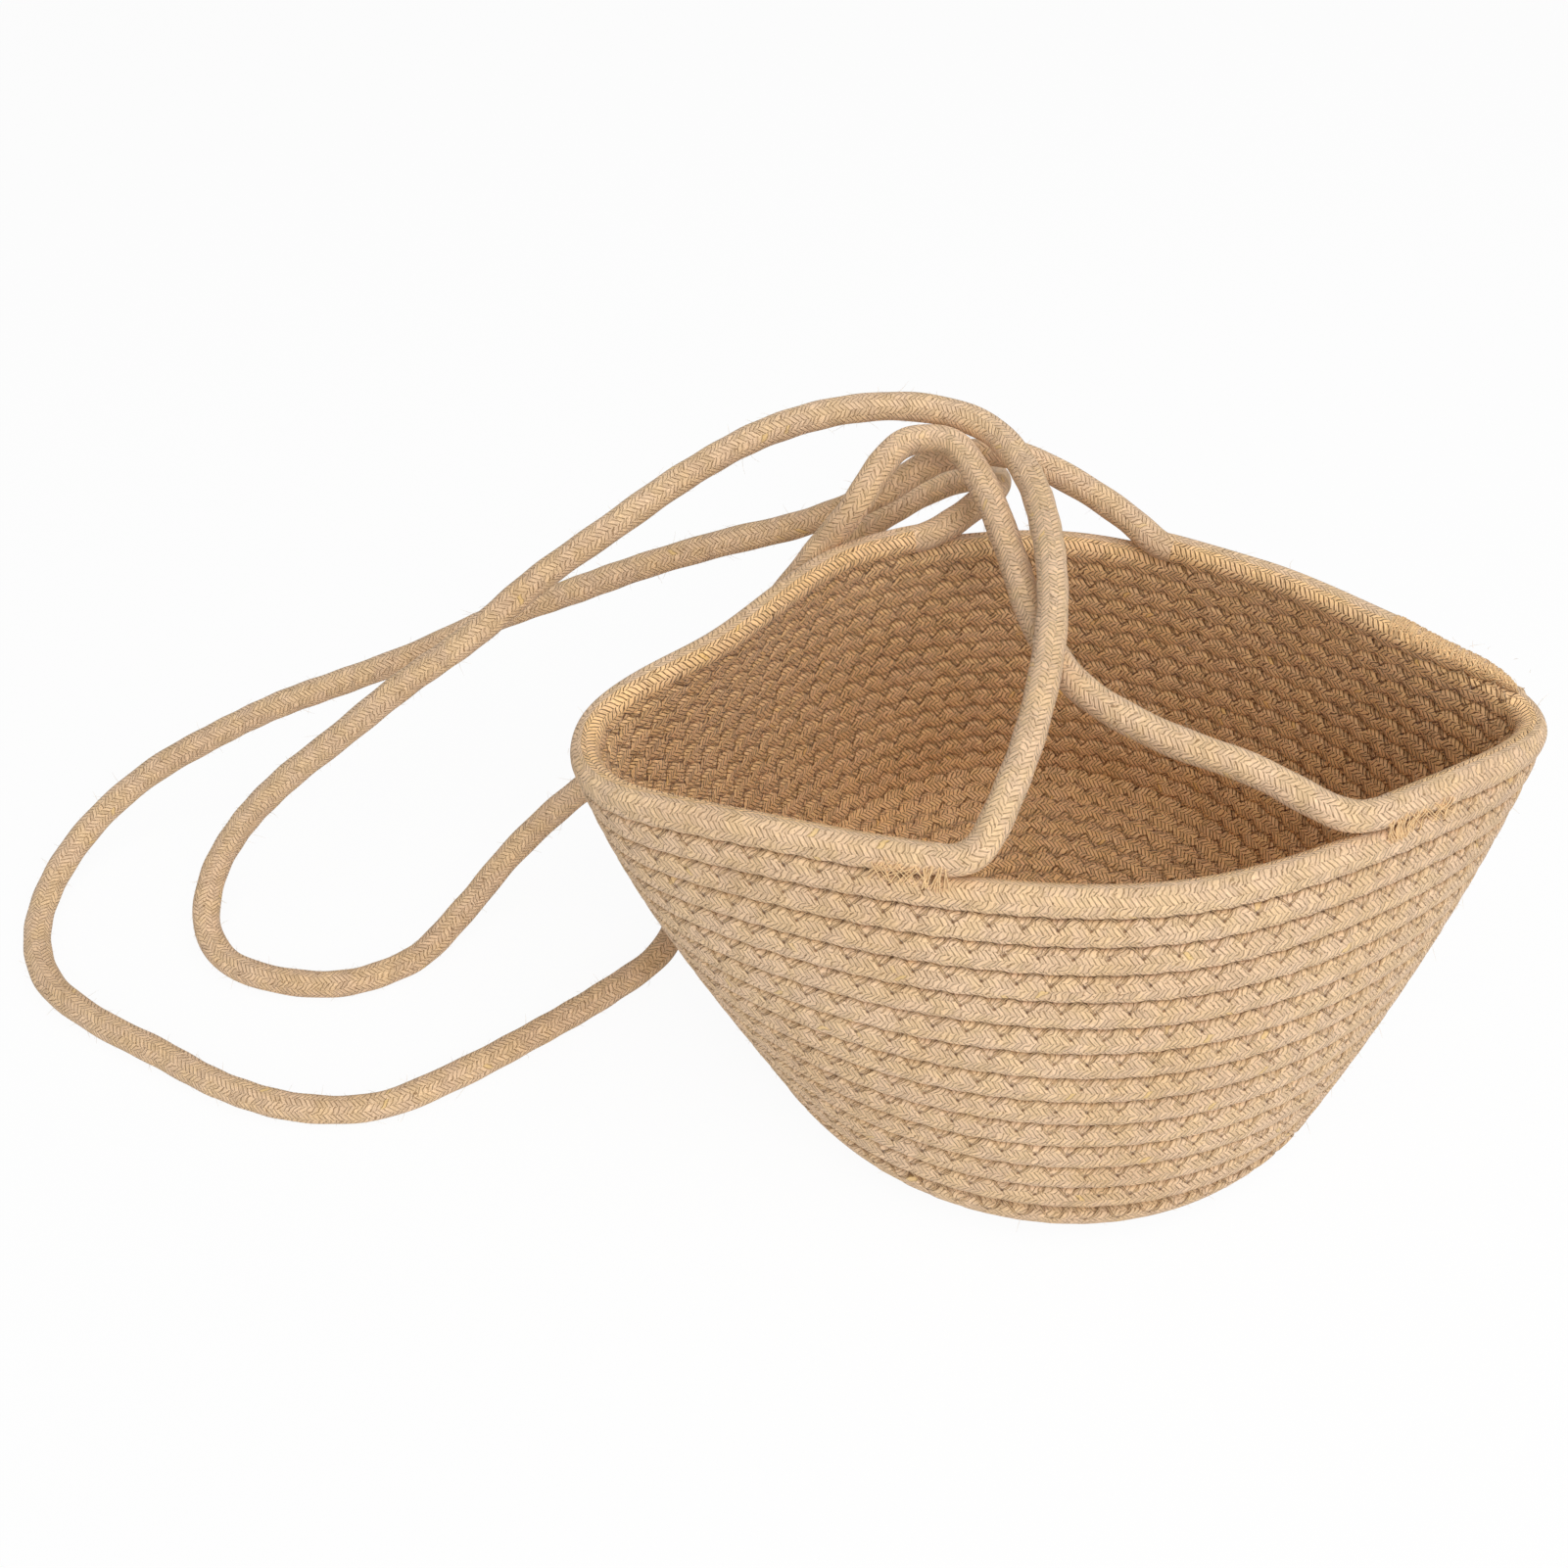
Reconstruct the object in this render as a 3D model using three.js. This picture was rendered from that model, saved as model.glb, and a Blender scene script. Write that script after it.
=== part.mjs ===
import * as THREE from "three";

// Hanging planter basket: one braided cotton cord, coiled flat into a floor, wound up into a soft
// wall that is pinched to a pointed oval, and let out twice over the rim as hanging ropes.
// Millimetres, +Z up, the wide front toward -Y, the two pinched corners at +X and -X.

const { degToRad, lerp } = THREE.MathUtils;

// The cord and how it is sewn
const CORD = 8;
const TURN_GAP = 0.8; // seam between neighbouring turns
const JOINT_GAP = 0.3; // between two runs of cord that meet end to end
const STANDING_FLAT = 0.8; // how much of the cord is pressed away where the floor stands

// The round floor
const FOOT_RADIUS = 82.7; // centreline of the outermost floor turn
const FOOT_SHIFT = 6.4; // the foot's centre lies this far to the right of the rim's
const FLOOR_SLACK = 0.2; // floor turns lie a little looser than the wall's
const FIRST_FOLD = 2.4; // the cord first folds back this far to the right of the foot's centre
const TUCK_BEHIND_CORE = 0.35; // share of the pitch that the early turns draw in behind the core

// The wall: how steeply its first course sits on the floor, and how far it leans out low down
const COURSES = 14;
const FIRST_RISE = degToRad(55.5);
const LEAN_RIGHT = degToRad(27.5);
const LEAN_BACK = degToRad(-2.5);
const LEAN_LEFT = degToRad(36.5);
const LEAN_FRONT = degToRad(-6);

// The pinched rim: the centreline of the last full course, counterclockwise from the right corner
const RIM_OUTLINE = [
  [122.5, -1.5], [100.5, 20], [60.5, 52], [6, 71], [-52.5, 59.5], [-93.5, 22.5],
  [-122, -5], [-110, -36], [-56.5, -57], [8.5, -62], [56.5, -51.5], [108, -25],
];

// Where the cord leaves the rim and comes back to it, in degrees counterclockwise from the right corner
const LEAVES_FRONT_RIGHT = 311.5;
const JOINS_FRONT_LEFT = 249;
const LEAVES_BACK_LEFT = 111;
const JOINS_BACK_RIGHT = 73;
const CORD_ENDS = 6;

// The thinned and stitched end of the cord at the right corner
const TAPER_LENGTH = 34;
const TAPER_TIP = 0.4; // share of the cord's thickness that is left at its tip
const WHIPPING_LENGTH = 9;
const WHIPPING_THICKNESS = 1;

// The dense thread bundles that hold the rope ends to the rim
const TACK_LENGTH = 18;
const TACK_HEIGHT = 6;
const TACK_THICKNESS = 1;
const TACK_TONGUE = 3; // how deep the thread sinks into the groove between two courses
const THREAD_CLEARANCE = 0.35; // between the thread and the cord

// The ropes' centrelines, from the rim back to the rim, lying where they touch the ground
const LYING = CORD / 2 + 0.2;
const ROPE_LEAD = 4; // the straight start of a rope, in line with the coil that it leaves
const FRONT_ROUTE = [
  [66, -43, 120], [44, -32, 125], [20, -22, 128.5], [2, -7, 131], [-7, 15, 134],
  [-12, 41, 138.5], [-18, 64, 144], [-26, 78, 148], [-39, 78, 148], [-47, 69, 145],
  [-54, 60, 138], [-62, 60, 126], [-71, 56.5, 114], [-79, 56, 102], [-95, 51.5, 82],
  [-112, 43, 66.5], [-130, 37, 54.5], [-145.5, 34.5, 40.5], [-161.5, 29, 25], [-176, 19, 11],
  [-191, 4, LYING], [-210, -5, LYING], [-231.5, -4, LYING], [-249.5, 3.5, LYING], [-258, 15, 8],
  [-256.5, 27, 18], [-246, 33.5, 33.5], [-229, 36.5, 51.5], [-209.5, 39.5, 67.5],
  [-188, 45, 84], [-166, 50, 99], [-146, 59, 113], [-124, 67, 126], [-102, 79, 136],
  [-79.5, 87, 145], [-55, 90, 151], [-32, 89, 152], [-15, 80, 151], [-6, 61, 149],
  [-3, 36, 147], [-4, 10, 143.5], [-9, -16, 138.5], [-17, -39, 131], [-28, -57, 121],
];
const REAR_ROUTE = [
  [-26, 68, 126], [-13, 83, 126], [-8, 100, 119], [-11, 114, 111], [-24, 119, 103],
  [-39, 114, 97], [-54, 113, 84], [-64, 111, 64], [-78, 102, 46], [-89, 88, 28],
  [-98, 70, 13], [-104, 47, 6], [-107, 25, LYING], [-113, 7, LYING], [-128.5, -8.5, LYING],
  [-150, -25, LYING], [-172, -40, LYING], [-193, -50.5, LYING], [-216, -51, LYING],
  [-239, -44, LYING], [-263, -31, LYING], [-286, -18.5, LYING], [-304, -4, LYING],
  [-313, 15, 5], [-312, 34, 9], [-302, 51, 17], [-284, 63, 28], [-261.5, 69, 39.5],
  [-238.5, 73, 50], [-214.5, 74, 60], [-190, 77, 69], [-167, 85, 76], [-142, 89, 84],
  [-118, 91, 93], [-93, 91, 102], [-68, 89, 111], [-46, 87, 123], [-27, 90, 134],
  [-7, 88, 137], [11, 81.5, 132], [27, 69.5, 127],
];

// Steps of the model
const STEPS_PER_TURN = 24;
const BEND_STEPS = 8;
const ROPE_SIDES = 8;
const LEAN_HALVINGS = 40; // the search for the wall's lean at the rim
const END_STEPS = 3; // this many steps may make way for the straight end of a run
const END_REACH = 1.4 * CORD; // and only those that lie this near to it
const GAP_REACH = 3 * CORD; // turns that lie further apart aren't measured against each other

// What follows from the sizes above
const HALF_TURN_HEIGHT = (CORD - TURN_GAP) / 2;
const FLOOR_LOOPS = Math.floor(FOOT_RADIUS / (CORD + FLOOR_SLACK));
const FLOOR_PITCH = FOOT_RADIUS / FLOOR_LOOPS;
const FLOOR_TURNS = FLOOR_LOOPS - 0.5; // turns from the fold in the middle to the foot
const FLOOR_HEIGHT = CORD / 2 - STANDING_FLAT;
const Z_AXIS = new THREE.Vector3(0, 0, 1);
const rimCurve = new THREE.CatmullRomCurve3(
  RIM_OUTLINE.map(([x, y]) => new THREE.Vector3(x, y, 0)),
  true,
  "catmullrom",
);

// A place on the cord is counted in turns: 0 at the foot, negative on the floor, positive up the
// wall. The cord runs clockwise, seen from above, and passes the middle of the front at each whole turn.
function angleOf(turn) {
  return -Math.PI / 2 - 2 * Math.PI * turn;
}

function turnOnRim(degrees) {
  return COURSES + 0.75 + (360 - degrees) / 360;
}

function outwardAt(angle) {
  return new THREE.Vector3(Math.cos(angle), Math.sin(angle), 0);
}

// The floor is an oval spiral round a straight core one cord long, and turns into a circle at the foot
function floorPoint(turn) {
  const turned = FLOOR_TURNS + turn;
  const left = 1 - turned / FLOOR_TURNS;
  const behindCore = (1 + Math.cos(2 * Math.PI * turned)) / 2;
  const tuckedIn = TUCK_BEHIND_CORE * behindCore ** 2 * left;
  const radius = FLOOR_PITCH * (turned + 0.5 - tuckedIn);
  const angle = angleOf(turn);
  return new THREE.Vector3(
    FOOT_SHIFT + (radius + (CORD / 2) * left) * Math.cos(angle),
    radius * Math.sin(angle),
    FLOOR_HEIGHT,
  );
}

function lowLeanAt(angle) {
  const mean = (LEAN_RIGHT + LEAN_BACK + LEAN_LEFT + LEAN_FRONT) / 4;
  const oval = (LEAN_RIGHT + LEAN_LEFT - LEAN_BACK - LEAN_FRONT) / 4;
  const toRight = (LEAN_RIGHT - LEAN_LEFT) / 2;
  const toBack = (LEAN_BACK - LEAN_FRONT) / 2;
  return mean + oval * Math.cos(2 * angle) + toRight * Math.cos(angle) + toBack * Math.sin(angle);
}

// The direction from one course to the next above it, as an angle over the ground
function riseOf(course, lowLean, topLean) {
  const wallRise = (n) => Math.PI / 2 - lerp(lowLean, topLean, (n - 1) / (COURSES - 1));
  if (course <= 1) return FIRST_RISE * Math.max(course, 0);
  if (course <= 2) return lerp(FIRST_RISE, wallRise(2), course - 1);
  return wallRise(course);
}

// The wall over one angle of the foot: its lean at the top brings the last course out to the rim
function wallAt(angle) {
  const lowLean = lowLeanAt(angle);
  const toRim = rimCurve.getPoint((angle / (2 * Math.PI)) % 1 + (angle < 0 ? 1 : 0));
  toRim.x -= FOOT_SHIFT;
  const outward = outwardAt(angle);
  const sideways = new THREE.Vector3().crossVectors(Z_AXIS, outward);
  const reach = toRim.dot(outward) - FOOT_RADIUS;
  let least = -Math.PI / 2;
  let most = Math.PI / 2;
  for (let halving = 0; halving < LEAN_HALVINGS; halving += 1) {
    const lean = (least + most) / 2;
    let reached = 0;
    for (let course = 1; course <= COURSES; course += 1) {
      reached += CORD * Math.cos(riseOf(course, lowLean, lean));
    }
    if (reached < reach) least = lean;
    else most = lean;
  }
  return {
    outward,
    sideways,
    shift: toRim.dot(sideways) / COURSES,
    rise: (course) => riseOf(course, lowLean, least),
  };
}

// Each turn sits on the one below it, one cord away in the direction of the wall
function cordPoint(turn) {
  if (turn <= 0) return floorPoint(turn);
  const wall = wallAt(angleOf(turn));
  const climb = new THREE.Vector3();
  let below = turn;
  while (below > 0) {
    const rise = wall.rise(below);
    const share = Math.min(below, 1);
    const pitch = lerp(FLOOR_PITCH, CORD, share);
    climb.addScaledVector(wall.outward, pitch * Math.cos(rise));
    climb.addScaledVector(wall.sideways, wall.shift * share);
    climb.z += pitch * Math.sin(rise);
    below -= 1;
  }
  return floorPoint(below).add(climb);
}

// A station is a place on a run of cord, with the axes of its cross-section: up points to the next
// turn, and out to the outside of the basket
function station(point, along, toNextTurn, thickness = 1) {
  const up = toNextTurn.clone().addScaledVector(along, -toNextTurn.dot(along)).normalize();
  const out = new THREE.Vector3().crossVectors(up, along);
  return { point, along, up, out, thickness };
}

function cordStation(turn) {
  const nearby = 0.5 / STEPS_PER_TURN;
  const along = cordPoint(turn + nearby).sub(cordPoint(turn - nearby)).normalize();
  const toNextTurn = cordPoint(turn + 1).sub(cordPoint(turn - 1)).normalize();
  return station(cordPoint(turn), along, toNextTurn);
}

function moved(place, distance) {
  return { ...place, point: place.point.clone().addScaledVector(place.along, distance) };
}

// A run of the coiled cord from one turn to another, straight for one cord's length at either end
function coilRun(firstTurn, lastTurn, joined = { start: true, end: true }) {
  const start = cordStation(firstTurn);
  const end = cordStation(lastTurn);
  const stations = [];
  const firstStep = Math.ceil(firstTurn * STEPS_PER_TURN);
  const lastStep = lastTurn * STEPS_PER_TURN;
  for (let step = firstStep; step < lastStep; step += 1) {
    const place = cordStation(step / STEPS_PER_TURN);
    const isNear = (end, steps) => steps < END_STEPS && place.point.distanceTo(end.point) < END_REACH;
    if (joined.start && isNear(start, step - firstStep)) continue;
    if (isNear(end, lastStep - step)) continue;
    stations.push(place);
  }
  if (joined.start) stations.unshift(moved(start, JOINT_GAP / 2), moved(start, CORD));
  stations.push(moved(end, -CORD), moved(end, -JOINT_GAP / 2));
  return stations;
}

// The floor's start: one cord's length straight across the middle, then a half turn back along it
function floorStart() {
  const bend = FLOOR_PITCH / 2;
  const middle = new THREE.Vector3(FOOT_SHIFT, 0, FLOOR_HEIGHT);
  const places = [[FIRST_FOLD - CORD, 0, 0], [FIRST_FOLD, 0, 0]];
  for (let step = 1; step <= BEND_STEPS; step += 1) {
    const turned = (Math.PI * step) / BEND_STEPS;
    places.push([FIRST_FOLD + bend * Math.sin(turned), -bend * (1 - Math.cos(turned)), turned]);
  }
  return places.map(([x, y, turned]) => {
    const along = new THREE.Vector3(Math.cos(turned), -Math.sin(turned), 0);
    const toNextTurn = new THREE.Vector3(Math.sin(turned), Math.cos(turned), 0);
    return station(new THREE.Vector3(x, y, 0).add(middle), along, toNextTurn);
  });
}

// The cross-sections are counterclockwise outlines of [out, up] corners

// The six-sided cord: pointed toward its neighbouring turns, flat inside and outside the basket
function cordSection({ thickness }) {
  const tip = HALF_TURN_HEIGHT * thickness;
  const face = (CORD / 2) * thickness;
  return [[0, tip], [-face, tip / 2], [-face, -tip / 2], [0, -tip], [face, -tip / 2], [face, tip / 2]];
}

// A thread bundle over the groove below a course: a tongue in the groove and a low head outside it
function tackSection() {
  const groove = -CORD / 2;
  const face = CORD / 2 + THREAD_CLEARANCE;
  const mouth = HALF_TURN_HEIGHT / 2;
  const root = mouth * (1 - TACK_TONGUE / face);
  const head = TACK_HEIGHT / 2;
  const lowerHalf = [
    [face - TACK_TONGUE, -root],
    [face, -mouth],
    [face, -head],
    [face + TACK_THICKNESS, TACK_THICKNESS - head],
  ];
  const upperHalf = lowerHalf.map(([out, up]) => [out, -up]).reverse();
  return [...lowerHalf, ...upperHalf].map(([out, up]) => [out, groove + up]);
}

// Thread wrapped over the thinned cord, down to the course that it lies on
function whippingSection({ thickness }) {
  const side = (CORD / 2) * thickness + THREAD_CLEARANCE;
  const top = HALF_TURN_HEIGHT * thickness + THREAD_CLEARANCE;
  const shoulder = (HALF_TURN_HEIGHT * thickness) / 2;
  const foot = -shoulder - THREAD_CLEARANCE;
  const outside = side + WHIPPING_THICKNESS;
  const rightHalf = [[side, foot], [outside, foot], [outside, shoulder]];
  const leftHalf = rightHalf.map(([out, up]) => [-out, up]).reverse();
  const outer = [...rightHalf, [0, top + WHIPPING_THICKNESS], ...leftHalf];
  return [...outer, [-side, shoulder], [0, top], [side, shoulder]];
}

// A closed solid swept through the stations, never below the ground
function sweep(stations, sectionOf) {
  const positions = [];
  for (const place of stations) {
    for (const [out, up] of sectionOf(place)) {
      const corner = place.point.clone().addScaledVector(place.out, out).addScaledVector(place.up, up);
      positions.push(corner.x, corner.y, Math.max(corner.z, 0));
    }
  }
  const section = sectionOf(stations[0]).map(([out, up]) => new THREE.Vector2(out, up));
  const sides = section.length;
  const lastRing = (stations.length - 1) * sides;
  const indices = [];
  for (let ring = 0; ring < lastRing; ring += sides) {
    for (let side = 0; side < sides; side += 1) {
      const a = ring + side;
      const b = ring + ((side + 1) % sides);
      indices.push(a, b, b + sides, a, b + sides, a + sides);
    }
  }
  for (const [a, b, c] of THREE.ShapeUtils.triangulateShape(section, [])) {
    indices.push(a, c, b, lastRing + a, lastRing + b, lastRing + c);
  }
  const geometry = new THREE.BufferGeometry();
  geometry.setAttribute("position", new THREE.Float32BufferAttribute(positions, 3));
  geometry.setIndex(indices);
  geometry.computeVertexNormals();
  return geometry;
}

// The stations of a stretch of a run, from one distance to another along it
function stretch(stations, from, to) {
  const picked = [];
  let walked = 0;
  for (let index = 1; index < stations.length; index += 1) {
    const a = stations[index - 1];
    const b = stations[index];
    const step = a.point.distanceTo(b.point);
    for (const distance of [from, to]) {
      if (distance >= walked && distance < walked + step) {
        picked.push({ distance, place: blend(a, b, (distance - walked) / step) });
      }
    }
    walked += step;
    if (walked > from && walked < to) picked.push({ distance: walked, place: b });
  }
  return picked.sort((a, b) => a.distance - b.distance).map(({ place }) => place);
}

function blend(a, b, share) {
  const point = a.point.clone().lerp(b.point, share);
  const along = a.along.clone().lerp(b.along, share).normalize();
  return station(point, along, a.up.clone().lerp(b.up, share), lerp(a.thickness, b.thickness, share));
}

function lengthOf(stations) {
  return stations.slice(1).reduce((sum, place, i) => sum + place.point.distanceTo(stations[i].point), 0);
}

// Thins the end of a run, which sinks until it lies on the course below
function taper(stations) {
  const total = lengthOf(stations);
  const start = total - TAPER_LENGTH;
  const thinned = [
    ...stretch(stations, 0, start),
    ...stretch(stations, start + CORD / 2, total - TAPER_LENGTH / 2),
    ...stretch(stations, total - TAPER_LENGTH / 2 + CORD / 2, total - JOINT_GAP),
  ];
  let walked = 0;
  return thinned.map((place, index) => {
    if (index > 0) walked += place.point.distanceTo(thinned[index - 1].point);
    const thickness = lerp(1, TAPER_TIP, Math.max(0, (walked - start) / TAPER_LENGTH));
    const point = place.point.clone().addScaledVector(place.up, (-CORD / 2) * (1 - thickness));
    return { ...place, point, thickness };
  });
}

// A rope's centreline, which steps along the points of its route and stays on the ground
class RopeRoute extends THREE.CatmullRomCurve3 {
  getPoint(t, target = new THREE.Vector3()) {
    super.getPoint(t, target);
    target.z = Math.max(target.z, LYING);
    return target;
  }

  getPointAt(u, target) {
    return this.getPoint(u, target);
  }

  getTangentAt(u, target) {
    return this.getTangent(u, target);
  }
}

function rope(leaving, route, joining) {
  const points = [
    moved(leaving, JOINT_GAP).point,
    moved(leaving, JOINT_GAP + ROPE_LEAD).point,
    ...route.map(([x, y, z]) => new THREE.Vector3(x, y, z)),
    moved(joining, -JOINT_GAP - ROPE_LEAD).point,
    moved(joining, -JOINT_GAP).point,
  ];
  const corners = [];
  for (let side = 0; side < ROPE_SIDES; side += 1) {
    const angle = (2 * Math.PI * side) / ROPE_SIDES;
    corners.push(new THREE.Vector2(Math.cos(angle), Math.sin(angle)).multiplyScalar(CORD / 2));
  }
  return new THREE.ExtrudeGeometry(new THREE.Shape(corners), {
    steps: points.length - 1,
    bevelEnabled: false,
    extrudePath: new RopeRoute(points),
  });
}

// The least distance between points on the surface of a run that lie more than half a turn apart
function leastSelfGap(stations) {
  const rings = [];
  for (let index = 0; index < stations.length; index += 1) {
    const next = stations[Math.min(index + 1, stations.length - 1)];
    for (const place of [stations[index], blend(stations[index], next, 0.5)]) {
      const corners = cordSection(place).map(([out, up]) =>
        place.point.clone().addScaledVector(place.out, out).addScaledVector(place.up, up),
      );
      rings.push(corners);
    }
    if (next === stations[index]) rings.pop();
  }
  let least = Infinity;
  for (let a = 0; a < rings.length; a += 1) {
    for (let b = a + STEPS_PER_TURN; b < rings.length; b += 1) {
      if (rings[a][0].distanceTo(rings[b][0]) > GAP_REACH) continue;
      for (const p of rings[a]) {
        for (const q of rings[b]) least = Math.min(least, p.distanceTo(q));
      }
    }
  }
  return least;
}

function materialOf(color, roughness) {
  return new THREE.MeshStandardMaterial({ color, roughness, metalness: 0 });
}

const basket = new THREE.Group();
const ropes = new THREE.Group();

function addPiece(group, name, geometry, material) {
  const mesh = new THREE.Mesh(geometry, material);
  mesh.name = name;
  group.add(mesh);
}

const wallCotton = materialOf("#c8a67a", 0.95);
const rimCotton = materialOf("#d9bb8e", 0.95);
const ropeCotton = materialOf("#e0c499", 0.95);
const straw = materialOf("#d8b35a", 0.8);

const floorRun = [...floorStart(), ...coilRun(0.5 - FLOOR_TURNS, 0, { start: false, end: true })];
const wallRun = coilRun(0, turnOnRim(LEAVES_FRONT_RIGHT));
const leftRun = coilRun(turnOnRim(JOINS_FRONT_LEFT), turnOnRim(LEAVES_BACK_LEFT));
const rightRun = taper(coilRun(turnOnRim(JOINS_BACK_RIGHT), turnOnRim(CORD_ENDS)));

addPiece(basket, "floor_coil", sweep(floorRun, cordSection), wallCotton);
addPiece(basket, "wall_coil", sweep(wallRun, cordSection), wallCotton);
addPiece(basket, "left_rim_coil", sweep(leftRun, cordSection), rimCotton);
addPiece(basket, "right_rim_coil", sweep(rightRun, cordSection), rimCotton);

addPiece(
  ropes,
  "front_hanging_rope",
  rope(cordStation(turnOnRim(LEAVES_FRONT_RIGHT)), FRONT_ROUTE, cordStation(turnOnRim(JOINS_FRONT_LEFT))),
  ropeCotton,
);
addPiece(
  ropes,
  "rear_hanging_rope",
  rope(cordStation(turnOnRim(LEAVES_BACK_LEFT)), REAR_ROUTE, cordStation(turnOnRim(JOINS_BACK_RIGHT))),
  ropeCotton,
);

const tackInset = CORD / 4; // the thread stops short of the cord's end
const atEnd = (run) => stretch(run, lengthOf(run) - TACK_LENGTH - tackInset, lengthOf(run) - tackInset);
const atStart = (run) => stretch(run, tackInset, tackInset + TACK_LENGTH);
addPiece(basket, "front_right_tack", sweep(atEnd(wallRun), tackSection), straw);
addPiece(basket, "front_left_tack", sweep(atStart(leftRun), tackSection), straw);
addPiece(basket, "back_left_tack", sweep(atEnd(leftRun), tackSection), straw);
addPiece(basket, "back_right_tack", sweep(atStart(rightRun), tackSection), straw);

const cordTip = lengthOf(rightRun) - tackInset;
const whipped = stretch(rightRun, cordTip - WHIPPING_LENGTH, cordTip);
addPiece(basket, "cord_end_whipping", sweep(whipped, whippingSection), straw);

console.log(`floor_coil: least gap between its turns ${leastSelfGap(floorRun).toFixed(2)} mm`);
console.log(`wall_coil: least gap between its turns ${leastSelfGap(wallRun).toFixed(2)} mm`);

// The basket stands with the middle of its box over the origin
const box = new THREE.Box3().setFromObject(basket);
const middle = box.getCenter(new THREE.Vector3());
const planter = new THREE.Group();
planter.add(basket, ropes);
planter.position.set(-middle.x, -middle.y, 0);
planter.updateMatrixWorld(true);
console.log(`basket ${box.getSize(new THREE.Vector3()).toArray().map((n) => n.toFixed(1)).join(" x ")} mm`);
console.log(`shifted by ${planter.position.toArray().map((n) => n.toFixed(2)).join(", ")} mm`);

export default planter;
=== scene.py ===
"""Hanging planter basket of one braided cotton cord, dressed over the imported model.

Metres, +Z up, the wide front toward -Y, the two pinched corners at +X and -X.
"""

import bpy
import numpy as np
from bpy.props import FloatProperty, FloatVectorProperty, IntProperty, PointerProperty
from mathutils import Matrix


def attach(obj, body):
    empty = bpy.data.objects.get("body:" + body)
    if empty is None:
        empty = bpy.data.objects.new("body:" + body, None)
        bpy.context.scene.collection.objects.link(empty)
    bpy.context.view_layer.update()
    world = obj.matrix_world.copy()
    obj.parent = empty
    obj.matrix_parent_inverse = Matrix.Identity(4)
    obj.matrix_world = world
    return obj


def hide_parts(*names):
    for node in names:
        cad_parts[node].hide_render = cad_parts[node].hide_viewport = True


bl_info = {
    "name": "Hanging planter basket",
    "version": (1, 0, 0),
    "blender": (4, 5, 0),
    "location": "View3D > Sidebar > Planter",
    "description": "Builds a planter of coiled and sewn cotton cord with two hanging ropes",
    "category": "Add Mesh",
}

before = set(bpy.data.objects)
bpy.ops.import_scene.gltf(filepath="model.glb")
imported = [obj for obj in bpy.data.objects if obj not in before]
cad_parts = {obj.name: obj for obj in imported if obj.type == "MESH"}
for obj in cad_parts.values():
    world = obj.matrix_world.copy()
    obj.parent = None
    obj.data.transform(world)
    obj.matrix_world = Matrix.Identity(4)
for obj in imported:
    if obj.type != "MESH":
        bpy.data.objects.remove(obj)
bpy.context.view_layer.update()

# The cord and its path, as in the model
CORD = 0.008
JOINT_GAP = 0.0003
STANDING_FLAT = 0.0008
FOOT_RADIUS = 0.0827
FOOT_SHIFT = 0.0064
FLOOR_SLACK = 0.0002
FIRST_FOLD = 0.0024
TUCK_BEHIND_CORE = 0.35
COURSES = 14
FIRST_RISE = np.radians(55.5)
LEAN_RIGHT, LEAN_BACK, LEAN_LEFT, LEAN_FRONT = np.radians([27.5, -2.5, 36.5, -6])
RIM_OUTLINE = np.array([
    (0.1225, -0.0015, 0), (0.1005, 0.02, 0), (0.0605, 0.052, 0), (0.006, 0.071, 0),
    (-0.0525, 0.0595, 0), (-0.0935, 0.0225, 0), (-0.122, -0.005, 0), (-0.11, -0.036, 0),
    (-0.0565, -0.057, 0), (0.0085, -0.062, 0), (0.0565, -0.0515, 0), (0.108, -0.025, 0),
])
BASKET_SHIFT = np.array([0.00045, -0.00019, 0])
FLOOR_LOOPS = int(FOOT_RADIUS / (CORD + FLOOR_SLACK))
FLOOR_PITCH = FOOT_RADIUS / FLOOR_LOOPS
FLOOR_TURNS = FLOOR_LOOPS - 0.5
FLOOR_HEIGHT = CORD / 2 - STANDING_FLAT
LEAN_HALVINGS = 40

# Places on the rim, in degrees counterclockwise from the right corner
LEAVES_FRONT_RIGHT = 311.5
JOINS_FRONT_LEFT = 249
LEAVES_BACK_LEFT = 111
JOINS_BACK_RIGHT = 73
CORD_ENDS = 6
TAPER_LENGTH = 0.034
TAPER_TIP = 0.4
TIP_LENGTH = 0.012

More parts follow.
